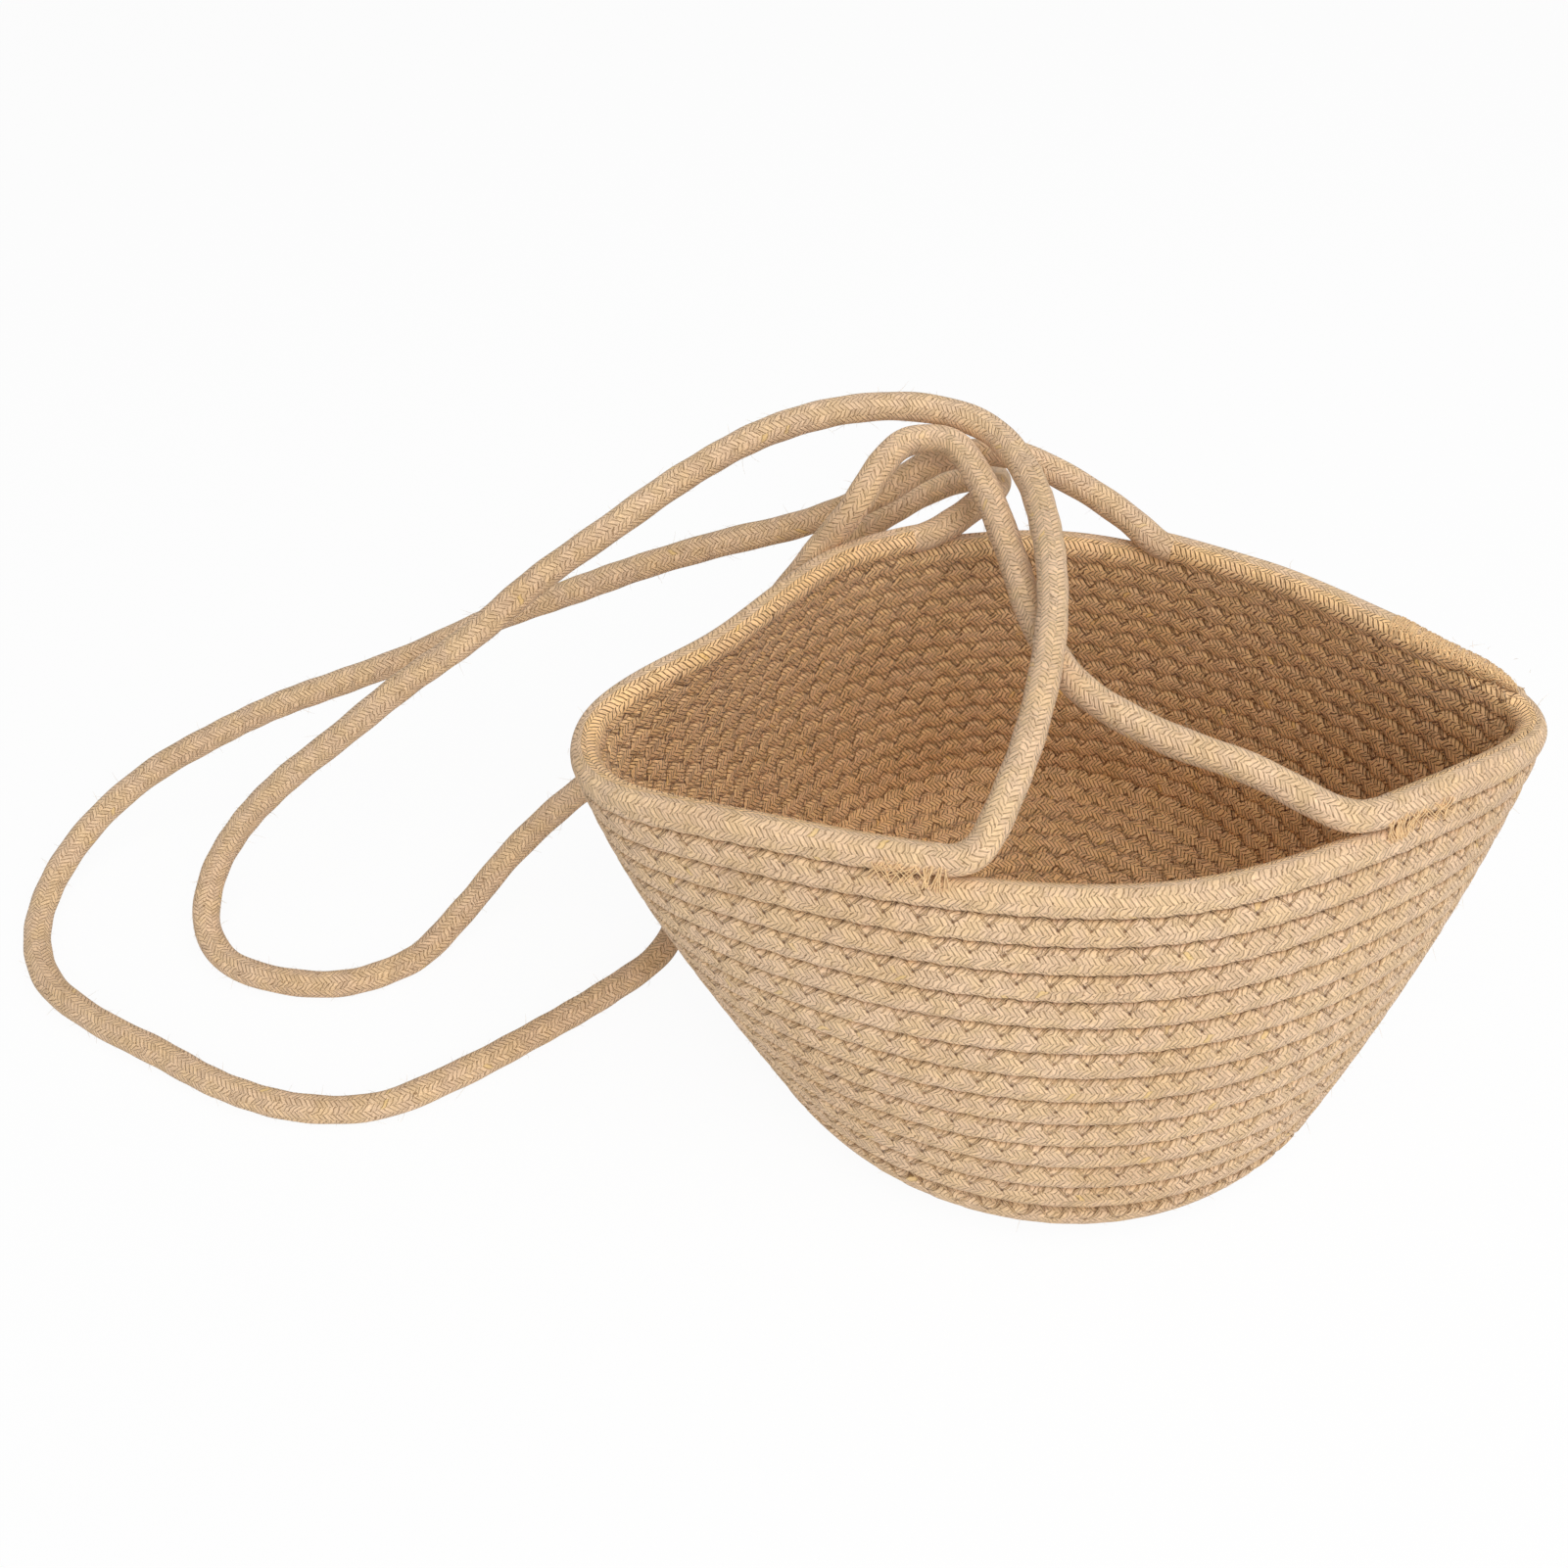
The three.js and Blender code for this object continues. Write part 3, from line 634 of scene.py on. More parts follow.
FRONT_ROPE = Rope(WALL_END, FRONT_ROUTE, LEFT_RIM[0])
REAR_ROPE = Rope(LEFT_RIM[1], REAR_ROUTE, RIGHT_RIM[0])
# The braid runs on through the joints, so each stretch counts on from the length before it
LEFT_RIM_OFFSET = length_at(WALL_END) + FRONT_ROPE.walked[-1] - length_at(LEFT_RIM[0])
RIGHT_RIM_OFFSET = LEFT_RIM_OFFSET + length_at(LEFT_RIM[1])
RIGHT_RIM_OFFSET += REAR_ROPE.walked[-1] - length_at(RIGHT_RIM[0])


def add_rope(name, node, rope, material, offset):
    around = np.arange(ROPE_SIDES) / ROPE_SIDES
    angle = 2 * np.pi * around - np.pi / 2
    radius = rope.radius[:, None]
    rings = section_rings(
        rope.points, radius * np.cos(angle), radius * np.sin(angle), rope.out, rope.up
    )
    rings[..., 2] = np.maximum(rings[..., 2], 0)
    lengths = (rope.walked + offset)[None]
    piece = new_piece(name, rings[None], material, "rope_cotton", lengths, around)
    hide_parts(node)
    path = [tuple(point) for point in rope.points[::8]] + [tuple(rope.points[-1])]


# Threads

def thread_rings(points, radius, sides, guide):
    """Thin tubes along curves of points, shaped (threads, points, 3)."""
    along = unit(np.gradient(points, axis=1))
    side = unit(np.cross(guide, along))
    other = np.cross(along, side)
    angle = (2 * np.pi * np.arange(sides) / sides)[:, None]
    radius = np.broadcast_to(radius, points.shape[:2])[..., None, None]
    spread = np.cos(angle) * side[..., None, :] + np.sin(angle) * other[..., None, :]
    return points[..., None, :] + radius * spread


def seam_thread(first, last, outside, radius):
    """The zig-zag thread of one stretch of seam, as rings of one long tube."""
    phases = np.arange(np.ceil(phase_at(first)), phase_at(last), 0.5 / THREAD_STEPS)
    turn = turn_at_phase(phases)
    lower, along, lower_up, lower_out = frames(turn)
    upper, _, upper_up, upper_out = frames(turn + 1)
    half = np.linalg.norm(upper - lower, axis=1) / 2
    height, off = seam_line(phases, outside)
    row = np.minimum(1 - np.abs(height) / half, HIGHEST_ROW)
    level = face_level(row, squareness_at(turn, outside))
    level = level - seam_depth(phases, height, outside) - radius * THREAD_SUNK
    at_turn = np.abs(np.abs(off) - 0.25) > 0.24
    level = (level - LOOP_SUNK * at_turn) * (1 if outside else -1)
    on_lower = lower + lower_up * (half + height)[:, None] + lower_out * level[:, None]
    on_upper = upper - upper_up * (half - height)[:, None] + upper_out * level[:, None]
    centres = on_lower + (on_upper - on_lower) * smooth(height / CROSSING + 0.5)[:, None]
    rising = np.where(at_turn, 0, np.where(off > 0, 1, -1))
    across = unit(lower_up - along * rising[:, None])
    angle = np.pi / 2 * np.arange(4)
    return section_rings(
        centres, radius * np.cos(angle), radius * np.sin(angle), lower_out, across
    )


def tack_stitches(joint, toward, count, rng):
    """Hand stitches over the groove below a rope's joint: a dense bundle, then looser crosses."""
    share = np.linspace(-1, 1, 9)
    bundled = np.arange(count) < count * BUNDLED
    in_bundle = BUNDLE_LENGTH * rng.random(count) + BUNDLE_START
    places = np.where(bundled, in_bundle, CROSS_START + CROSS_LENGTH * rng.random(count))
    upright = rng.normal(0, 0.0006, count)
    slants = np.where(bundled, upright, rng.choice([-1, 1], count) * CROSS_SLANT)
    slants = slants + rng.normal(0, 0.0004, count)
    slants[-1] = -LONG_STITCH_SLANT * toward
    middle = length_at(joint) + toward * places
    walked = middle[:, None] + slants[:, None] * share
    point, _, up, out = frames(turn_at_length(walked.ravel()))
    reach = np.where(bundled, BUNDLE_REACH, CROSS_REACH) + 0.0009 * rng.random(count)
    shift = 0.0004 + rng.normal(0, 0.0006, count)
    height = (shift[:, None] + reach[:, None] * share).ravel() - CORD / 2
    row = np.minimum(1 - np.abs(height + CORD / 2) / (CORD / 2), 0.8)
    proud = 0.0002 + 0.0004 * rng.random(count)
    level = face_level(row, TACK_SQUARENESS).reshape(walked.shape) + proud[:, None]
    level = level - 0.0012 * np.abs(share) ** 8
    points = point + up * height[:, None] + out * level.ravel()[:, None]
    shape = (*walked.shape, 3)
    return thread_rings(points.reshape(shape), TACK_THREAD, 5, out.reshape(shape))


def whipping_stitches(count, rng):
    """Short stitches over the top of the thinned cord end, down to the course below it."""
    share = np.linspace(0, 1, 10)
    spread = (np.arange(count) + rng.random(count)) / count
    left = WHIPPING_FROM + (TAPER_LENGTH + WHIPPING_BEYOND) * spread
    start = rng.choice(WHIPPING_STARTS, count) + rng.normal(0, 0.15, count)
    turned = WHIPPING_ARC + WHIPPING_FURTHER * rng.random(count)
    arc = start[:, None] + turned[:, None] * share
    tip = length_at(RIGHT_RIM[1])
    walked = (tip - left)[:, None] + rng.normal(0, 0.0009, count)[:, None] * (share - 0.5)
    point, _, up, out = frames(turn_at_length(walked.ravel()))
    thickness = end_thickness(tip - walked)
    centre = point - up * (CORD / 2 * (1 - thickness)).ravel()[:, None]
    proud = 0.00005 + 0.0002 * rng.random(count)[:, None]
    reach = CORD / 2 * thickness + proud - 0.0007 * np.abs(2 * share - 1) ** 8
    lift = out * (reach * np.cos(arc)).ravel()[:, None]
    lift = lift + up * (reach * np.sin(arc)).ravel()[:, None]
    shape = (*walked.shape, 3)
    return thread_rings((centre + lift).reshape(shape), WHIPPING_THREAD, 5, lift.reshape(shape))


def fibre_rings(roots, normals, along, rng):
    """Fine hairs that lift off the cord and bend."""
    count = len(roots)
    heading = 2 * np.pi * rng.random(count)[:, None]
    sideways = np.cos(heading) * along + np.sin(heading) * np.cross(normals, along)
    start = unit(sideways + normals * rng.uniform(0.1, 0.9, count)[:, None])
    bend = rng.normal(0, 0.4, (count, 3))
    length = (FIBRE_LEAST + FIBRE_FURTHER * rng.random(count) ** 2)[:, None, None]
    share = np.linspace(0, 1, 4)[:, None]
    points = (roots - normals * FIBRE_ROOTED)[:, None]
    points = points + length * (share * start[:, None] + share**2 * bend[:, None])
    points[..., 2] = np.maximum(points[..., 2], ABOVE_GROUND)
    return thread_rings(points, FIBRE_RADII, 3, normals[:, None])


def rope_fibres(rope, count, rng):
    place = rng.integers(20, len(rope.points) - 20, count)
    angle = 2 * np.pi * rng.random(count)[:, None]
    normals = np.cos(angle) * rope.out[place] + np.sin(angle) * rope.up[place]
    roots = rope.points[place] + normals * rope.radius[place, None]
    return fibre_rings(roots, normals, rope.along[place], rng)


def wall_fibres(count, rng):
    turn = rng.uniform(0.5, RIGHT_RIM[1], count)
    turn = turn[course_here(turn) > 0.99]
    point, along, up, out = frames(turn)
    side = rng.choice([-1, 1], len(turn))
    row = rng.uniform(-0.8, 0.8, len(turn))[:, None]
    normals = out * side[:, None]
    roots = point + normals * face_level(row, OUTER_SQUARENESS) + up * (row * CORD / 2)
    return fibre_rings(roots, normals, along, rng)


# Materials

# Scales of the noises that make the cotton uneven, from wide patches to fine fuzz. Two of them only
# vary painted shade: how dark the seams' creases are, and where dark pits show.
PATCHES = 32.0
SHADE_SPREAD = 90.0
MOTTLE = 160.0
WANDER = 300.0
PACKING = 450.0
STRAY = 700.0
THREAD_SPOTS = 900.0
SHADED_PITS = 1000.0
FUZZ = 2100.0

# The braid: what shapes its strokes, and what raises its face, as shares of BRAID_RELIEF
STROKE_SLANT = 1.1
COLUMN_SHIFT = 0.5
COLUMN_WANDER, STROKE_WANDER = 0.8, 1.5
RIDGE_FULLNESS = 0.4
STREAKS_ALONG, STREAKS_ACROSS = 7.0, 2.2
YARN_DIP, TIP_DIP, STREAK_RISE, FUZZ_RISE = 0.15, 0.14, 0.38, 0.4
CREASE_DIP, HOLE_DIP = 0.35, 0.7
BRAID_RELIEF = 0.0003
THREAD_RELIEF = 0.00005

# The drawn seam is full up to MARK_CORE from its line and gone at MARK_EDGE, or a little nearer
# outside. SEAM_STRAY and LEVEL_STRAY let it wander along and across.
MARK_CORE = 0.00025
MARK_EDGE = 0.00065
OUTER_EDGE_NEARER = 0.00005
SEAM_STRAY, LEVEL_STRAY = 0.05, 0.0004
# Strengths of the painted shade: in the seam's crease inside, less of it outside, in the needle
# holes, and in the groove between courses
INSIDE_DARK, OUTSIDE_LESS, HOLE_DARK, GROOVE_DARK = 0.85, 0.2, 0.85, 0.2


class Value:
    """A number in a material. Arithmetic on it adds the nodes that work it out."""

    def __init__(self, graph, socket):
        self.graph, self.socket = graph, socket

    def __add__(self, other):
        return self.graph.math("ADD", self, other)

    def __sub__(self, other):
        return self.graph.math("SUBTRACT", self, other)

    def __mul__(self, other):
        return self.graph.math("MULTIPLY", self, other)

    def __truediv__(self, other):
        return self.graph.math("DIVIDE", self, other)

    def max(self, other):
        return self.graph.math("MAXIMUM", self, other)

    def rest(self):
        """What is left of 1."""
        return self.graph.math("SUBTRACT", 1.0, self)


class Graph:
    """Adds nodes to a new material or world and links them."""

    def __init__(self, owner):
        owner.use_nodes = True
        self.owner, self.tree = owner, owner.node_tree

    def set(self, socket, value):
        if isinstance(value, Value):
            self.tree.links.new(value.socket, socket)
        else:
            socket.default_value = value

    def node(self, kind, inputs, output=0, **settings):
        made = self.tree.nodes.new(kind)
        for key, value in settings.items():
            setattr(made, key, value)
        for key, value in inputs.items():
            self.set(made.inputs[key], value)
        return Value(self, made.outputs[output])

    def math(self, operation, *values):
        return self.node("ShaderNodeMath", dict(enumerate(values)), operation=operation)

    def steps(self, value, low, high):
        """0 below low, 1 above high."""
        inputs = {"Value": value, "From Min": low, "From Max": high}
        return self.node("ShaderNodeMapRange", inputs, interpolation_type="SMOOTHSTEP")

    def vector(self, *values):
        return self.node("ShaderNodeCombineXYZ", dict(enumerate(values)))

    def grey(self, value):
        return self.node("ShaderNodeCombineColor", {0: value, 1: value, 2: value})

    def mix(self, share, base, colour, blend="MIX"):
        """A share of a colour on a base, each three numbers or other nodes' colour."""
        base, colour = (
            given if isinstance(given, Value) else (*given, 1.0) for given in (base, colour)
        )
        inputs = {0: share, 6: base, 7: colour}
        return self.node("ShaderNodeMix", inputs, 2, data_type="RGBA", blend_type=blend)

    def tint(self, base, colour, share=1.0):
        return self.mix(share, base, colour, "MULTIPLY")

    def stored(self, name):
        """A number that the mesh carries."""
        return self.node("ShaderNodeAttribute", {}, 2, attribute_name=name)

    def along_cord(self):
        """The length along the cord, and how far round it a place is."""
        place = self.node("ShaderNodeUVMap", {}, uv_map="cord")
        return [self.node("ShaderNodeSeparateXYZ", {0: place}, output) for output in (0, 1)]

    def noise(self, scale, detail=2.0, place=None):
        place = place or self.node("ShaderNodeTexCoord", {}, "Object")
        return self.node("ShaderNodeTexNoise", {"Vector": place, "Scale": scale, "Detail": detail})

    def bump(self, height, relief, strength=1.0):
        inputs = {"Height": height, "Distance": relief, "Strength": strength}
        return self.node("ShaderNodeBump", inputs)

    def ray(self, kind):
        return self.node("ShaderNodeLightPath", {}, f"Is {kind} Ray")

    def surface(self, inputs):
        shader = self.tree.nodes["Principled BSDF"]
        for key, value in inputs.items():
            self.set(shader.inputs[key], value)
        return Value(self, shader.outputs[0])


def seam_marks(graph, which, outside, stray):
    """Where the zig-zag of the seam above or below shows: its crease, and its needle holes."""
    fold = graph.math("PINGPONG", graph.stored(f"seam_{which}") + stray * SEAM_STRAY, 0.5)
    level = graph.stored(f"level_{which}") + stray * LEVEL_STRAY
    low = outside * (INNER_REACH - HOLE_BELOW) - INNER_REACH
    rise = outside * (HOLE_BELOW + PEAK_ABOVE - 2 * INNER_REACH) + 2 * INNER_REACH
    share = fold * 2.0
    arch = (graph.math("SINE", fold * np.pi) - share) * (outside * ARCHED)
    gap = graph.math("ABSOLUTE", level - (rise * (share + arch) + low))
    crease = graph.steps(gap, outside * -OUTER_EDGE_NEARER + MARK_EDGE, MARK_CORE)
    across, above = fold * STITCH, level - low
    distance = graph.math("SQRT", across * across + above * above)
    return crease, graph.steps(distance, MARK_EDGE, MARK_CORE)


def braided_cotton(name, settings, sewn):
    """Columns of slanted strokes round the cord, mirrored from column to column."""
    graph = Graph(bpy.data.materials.new(name))
    length, around = graph.along_cord()
    wander = graph.noise(WANDER) - 0.5
    column = around * float(settings.columns) + wander * COLUMN_WANDER
    column_number = graph.math("FLOOR", column)
    fold = graph.math("PINGPONG", column, 1.0)
    odd = graph.math("PINGPONG", column_number, 1.0)
    stroke = length / settings.stroke + fold * STROKE_SLANT + odd * COLUMN_SHIFT
    stroke = stroke + wander * STROKE_WANDER
    cell = graph.vector(graph.math("FLOOR", stroke), column_number)
    random = graph.node("ShaderNodeTexWhiteNoise", {"Vector": cell})
    ridge = graph.math("COSINE", stroke * (2 * np.pi)) * -0.5 + 0.5
    ridge = graph.math("POWER", ridge, RIDGE_FULLNESS)
    yarn = graph.math("COSINE", stroke * (4 * np.pi))
    tip = graph.steps(graph.math("ABSOLUTE", fold - 0.5), 0.36, 0.5)
    streak = graph.vector(stroke * STREAKS_ALONG, fold * STREAKS_ACROSS, column_number)
    streak = graph.noise(1.0, 1.0, streak)
    height = ridge * (random * 0.3 + 0.45) - yarn * YARN_DIP - tip * TIP_DIP
    height = height + streak * STREAK_RISE + graph.noise(FUZZ, 3.0) * FUZZ_RISE

    packed = graph.steps(graph.noise(PACKING), 0.36, 0.62)
    # Painted light and shade: the high parts of the strands take the cord colour and the gaps
    # between them the darker shade colour
    lit = graph.steps(height, 0.36, 0.88)
    lit = lit.rest() * (packed * 0.45) + lit
    base = graph.mix(lit, settings.shade_colour, settings.cord_colour)
    base = graph.tint(base, graph.grey((random * 0.18 + 0.91) * (streak * 0.7 + 0.66)))
    fleck = graph.steps(random, 0.993, 0.996)
    base = graph.mix(fleck * 0.5, base, settings.fleck_colour)
    mottle = graph.steps(graph.noise(MOTTLE), 0.35, 0.65)
    base = graph.tint(base, graph.mix(mottle, settings.pale_colour, settings.golden_colour))
    patch = graph.steps(graph.noise(PATCHES), 0.35, 0.75)
    base = graph.tint(base, settings.patch_colour, patch)
    # Painted shade in small pits between the strokes
    pit_shade = graph.steps(graph.noise(SHADED_PITS, 1.0), 0.66, 0.76)
    base = graph.tint(base, settings.crease_shade_colour, pit_shade * 0.65)
    if sewn:
        inside = graph.math("LESS_THAN", graph.stored("side"), 0.0)
        outside = inside.rest()
        # Painted light and shade inside the basket: the strands are brightened and warmed, the gaps
        # between them darkened
        inside_light_and_shade = graph.steps(height, 0.42, 0.85)
        inside_light_and_shade = graph.mix(inside_light_and_shade, settings.inside_shade, settings.inside_painted_light)
        base = graph.tint(base, inside_light_and_shade, inside)
        # Painted shade in the creases that the seams draw, in the needle holes and in the groove
        # between courses; the creases and holes also dip in the bump
        stray = graph.noise(STRAY) - 0.5
        crease, hole = seam_marks(graph, "up", outside, stray)
        lower_crease, lower_hole = seam_marks(graph, "down", outside, stray)
        crease, hole = crease.max(lower_crease), hole.max(lower_hole)
        # How dark the painted crease shade is varies at random along the seams
        shade_spread = graph.steps(graph.noise(SHADE_SPREAD), 0.3, 0.7)
        seam_shade = crease * ((outside * -OUTSIDE_LESS + INSIDE_DARK) * (shade_spread * 0.5 + 0.65))
        seam_shade = seam_shade.max(hole * HOLE_DARK).max(graph.stored("groove") * GROOVE_DARK)
        base = graph.tint(base, settings.crease_shade_colour, seam_shade)
        height = height - crease * CREASE_DIP - hole * HOLE_DIP
    graph.surface({
        "Base Color": base, "Normal": graph.bump(height, BRAID_RELIEF), "Roughness": 0.92,
        "Specular IOR Level": 0.2, "Sheen Weight": 0.2, "Sheen Roughness": 0.5,
    })
    return graph.owner


def sewing_thread(name, thread_colour, twist):
    """Two-ply thread, its plies turning round each other once in the length of a twist."""
    graph = Graph(bpy.data.materials.new(name))
    length, around = graph.along_cord()
    turn = length / twist + around
    ply = graph.math("ABSOLUTE", graph.math("SINE", turn * (2 * np.pi)))
    shade = graph.grey(ply * 0.25 + (graph.noise(THREAD_SPOTS) * 0.4 + 0.58))
    graph.surface({
        "Base Color": graph.tint(thread_colour, shade), "Roughness": 0.6, "Sheen Weight": 0.1,
        "Normal": graph.bump(ply, THREAD_RELIEF, 0.8),
    })
    return graph.owner


def cotton_fibre(name, fibre_colour):
    """Single hairs of cotton, some paler than others."""
    graph = Graph(bpy.data.materials.new(name))
    tone = graph.grey(graph.noise(WANDER) * 0.5 + 0.7)
    graph.surface({"Base Color": graph.tint(fibre_colour, tone), "Roughness": 0.8})
    return graph.owner


# Settings

def setting(kind, name, description, default, least=0, **more):
    return kind(name=name, description=description, default=default, min=least, **more)


def colour_setting(name, description, default, most=1):
    return setting(
        FloatVectorProperty, name, description, default, max=most, subtype="COLOR", size=3
    )


def count_setting(name, description, default, least=1):
    return setting(IntProperty, name, description, default, least)


class PlanterCordSettings(bpy.types.PropertyGroup):
    cord_colour: colour_setting("Cord", "Colour of the cotton cord", (0.9, 0.65, 0.415))
    # Painted shade in the gaps between the strands of the braid
    shade_colour: colour_setting(
        "Between strands", "Colour between the strands of the braid", (0.42, 0.27, 0.145)
    )
    patch_colour: colour_setting(
        "Patches", "Tint of slightly darker stretches of cord", (0.93, 0.9, 0.86)
    )
    pale_colour: colour_setting(
        "Pale spots", "Tint of the paler spots of the cotton", (1.0, 0.98, 1.0)
    )
    golden_colour: colour_setting(
        "Golden spots", "Tint of the yellower spots of the cotton", (1.0, 0.975, 0.9)
    )
    # Painted shade in the creases, grooves, needle holes and pits of the cord
    crease_shade_colour: colour_setting(
        "Creases", "Tint of grooves and needle holes", (0.27, 0.18, 0.11)
    )
    # Painted light on the strands inside the basket; the next colour is painted shade in the gaps
    # between them
    inside_painted_light: colour_setting(
        "Inside", "Tint of the strands inside the basket", (1.16, 1.09, 0.92), most=2
    )
    inside_shade: colour_setting(
        "Inside gaps", "Tint of the gaps between the strands inside the basket", (0.4, 0.33, 0.25)
    )
    fleck_colour: colour_setting("Flecks", "Colour of stray straw in the cord", (0.86, 0.6, 0.2))
    stroke: setting(
        FloatProperty, "Stroke", "Length of cord that one stroke of the braid takes up", 0.0015,
        least=0.0002, subtype="DISTANCE", unit="LENGTH", precision=5,
    )
    columns: count_setting(
        "Columns", "How many columns of strokes run round the cord, an even number", 12, least=2
    )


class PlanterThreadSettings(bpy.types.PropertyGroup):
    seam_colour: colour_setting("Seam thread", "Colour of the zig-zag thread", (0.78, 0.54, 0.29))
    straw_colour: colour_setting(
        "Straw thread", "Colour of the thread of the tacks", (0.95, 0.65, 0.34)
    )
    fibre_colour: colour_setting("Fibres", "Colour of the loose fibres", (0.92, 0.74, 0.52))
    tack_stitches: count_setting(
        "Stitches in a tack", "How many stitches hold a rope to the rim", 42
    )
    end_stitches: count_setting(
        "Stitches at the end", "How many stitches hold the thinned end", 190
    )
    rope_fibres: count_setting("Fibres on a rope", "How many loose fibres each rope has", 1500)
    wall_fibres: count_setting(
        "Fibres on the wall", "How many loose fibres are tried on the wall", 3000
    )


class PlanterStageSettings(bpy.types.PropertyGroup):
    lens: setting(
        FloatProperty, "Lens", "Focal length of the camera, in millimetres", 38.65, least=1
    )
    overhead: setting(
        FloatProperty, "Overhead lamp", "Power of the large lamp above, in watts", 8.5
    )
    front: setting(FloatProperty, "Front lamp", "Power of the lamp at the front, in watts", 3.5)
    surround: setting(FloatProperty, "Surround", "Strength of the light from all round", 0.4)
    floor_glow: setting(
        FloatProperty, "White of the floor", "How much of the floor's shadow is washed out", 0.94,
        subtype="FACTOR", max=1,
    )


# Steps

CAMERA_PLACE = (-0.07331, -0.32962, 0.42275)
CAMERA_LOOKS_DOWN = 45.485
SENSOR_WIDTH = 36
LAMPS_AIM = (0.0, 0.0, 0.05)
OVERHEAD_PLACE, OVERHEAD_SIZE = (0.35, -0.32, 1.2), 1.2
FRONT_PLACE, FRONT_SIZE = (0.03, -0.9, 0.7), 0.8
WHITE = (1, 1, 1, 1)
FLOOR_COLOUR = (0.9, 0.9, 0.9, 1)


class PLANTER_OT_stage(bpy.types.Operator):
    """Adds the camera, the floor and the lamps"""

    bl_idname = "planter.stage"
    bl_label = "Stage"

    def execute(self, context):
        settings = context.scene.planter_stage
        camera = bpy.data.objects.new("camera", bpy.data.cameras.new("camera"))
        camera.location = CAMERA_PLACE
        camera.rotation_euler = (np.radians(90 - CAMERA_LOOKS_DOWN), 0, 0)
        camera.data.lens = settings.lens
        camera.data.sensor_width = SENSOR_WIDTH
        camera.data.clip_start = 0.01
        context.scene.collection.objects.link(camera)
        context.scene.camera = camera
        self.add_floor(settings.floor_glow)
        self.add_lamp(context, "overhead_lamp", OVERHEAD_PLACE, OVERHEAD_SIZE, settings.overhead)
        self.add_lamp(context, "front_lamp", FRONT_PLACE, FRONT_SIZE, settings.front)
        self.add_surround(context, settings.surround)
        context.scene.view_settings.view_transform = "Standard"
        return {"FINISHED"}

    def add_floor(self, glow):
        bpy.ops.object.select_all(action="DESELECT")
        bpy.ops.mesh.primitive_circle_add(
            vertices=96, radius=4, fill_type="NGON", location=(0, 0, -0.0001)
        )
        floor = bpy.context.object
        floor.name = "floor"
        bpy.ops.object.transform_apply(location=True)
        graph = Graph(bpy.data.materials.new("white_floor"))
        lit = graph.surface({
            "Base Color": FLOOR_COLOUR, "Roughness": 0.9, "Specular IOR Level": 0.1,
        })
        seen = graph.ray("Camera").max(graph.ray("Glossy")).max(graph.ray("Transmission"))
        white = graph.node("ShaderNodeEmission", {"Color": WHITE, "Strength": 1.0})
        mixed = graph.node("ShaderNodeMixShader", {0: seen * glow, 1: lit, 2: white})
        graph.set(graph.tree.nodes["Material Output"].inputs["Surface"], mixed)
        floor.data.materials.append(graph.owner)

    def add_lamp(self, context, name, place, size, power):
        lamp = bpy.data.objects.new(name, bpy.data.lights.new(name, "AREA"))
        lamp.data.energy = power
        lamp.data.size = size
        lamp.location = place
        aim = np.array(LAMPS_AIM) - np.array(place)
        away = np.arctan2(np.hypot(aim[0], aim[1]), -aim[2])
        lamp.rotation_euler = (away, 0, np.arctan2(aim[1], aim[0]) - np.pi / 2)
        context.scene.collection.objects.link(lamp)

    def add_surround(self, context, strength):
        context.scene.world = bpy.data.worlds.new("white_surround")
        graph = Graph(context.scene.world)
        seen = graph.ray("Camera").max(graph.ray("Transmission"))
        background = graph.tree.nodes["Background"]
        background.inputs["Color"].default_value = WHITE
        shown = graph.node("ShaderNodeMix", {0: seen, 2: strength, 3: 1.0})
        graph.set(background.inputs["Strength"], shown)


def coil_material(context):
    name = "sewn_cotton_braid"
    made = bpy.data.materials.get(name)
    return made or braided_cotton(name, context.scene.planter_cord, sewn=True)


def straw_material(context):
    name = "straw_sewing_thread"
    made = bpy.data.materials.get(name)
    return made or sewing_thread(name, context.scene.planter_thread.straw_colour, STRAW_TWIST)


class PLANTER_OT_ropes(bpy.types.Operator):
    """Adds the two hanging ropes"""

    bl_idname = "planter.ropes"
    bl_label = "Hanging ropes"

    def execute(self, context):
        material = braided_cotton("rope_cotton_braid", context.scene.planter_cord, sewn=False)
        front, rear = length_at(WALL_END), length_at(LEFT_RIM[1]) + LEFT_RIM_OFFSET
        add_rope("front_rope", "front_hanging_rope", FRONT_ROPE, material, front)
        add_rope("rear_rope", "rear_hanging_rope", REAR_ROPE, material, rear)
        return {"FINISHED"}


class PLANTER_OT_floor(bpy.types.Operator):
    """Adds the coiled floor"""

    bl_idname = "planter.floor"
    bl_label = "Floor"

    def execute(self, context):
        material = coil_material(context)
        add_sewn_cord("floor_cord", "floor_coil", "wall_cotton", material, CORE_END_TURN, 0)
        return {"FINISHED"}


class PLANTER_OT_wall(bpy.types.Operator):
    """Adds the coiled wall"""

    bl_idname = "planter.wall"
    bl_label = "Wall"

    def execute(self, context):
        material = coil_material(context)
        for number, (first, last) in enumerate(zip(WALL_CUTS, [*WALL_CUTS[1:], WALL_END]), 1):
            add_sewn_cord(
                f"wall_cord_{number}", "wall_coil", "wall_cotton", material, first, last,
                free_ends="end" if last == WALL_END else "",
            )
        return {"FINISHED"}


class PLANTER_OT_rims(bpy.types.Operator):
    """Adds the last course round each pinched corner"""

    bl_idname = "planter.rims"
    bl_label = "Rim"

    def execute(self, context):
        material = coil_material(context)
        add_sewn_cord(
            "left_rim_cord", "left_rim_coil", "rim_cotton", material, *LEFT_RIM,
            offset=LEFT_RIM_OFFSET, free_ends="start end",
        )
        add_sewn_cord(
            "right_rim_cord", "right_rim_coil", "rim_cotton", material, *RIGHT_RIM,
            offset=RIGHT_RIM_OFFSET, free_ends="start", tapered=True,
        )
        return {"FINISHED"}


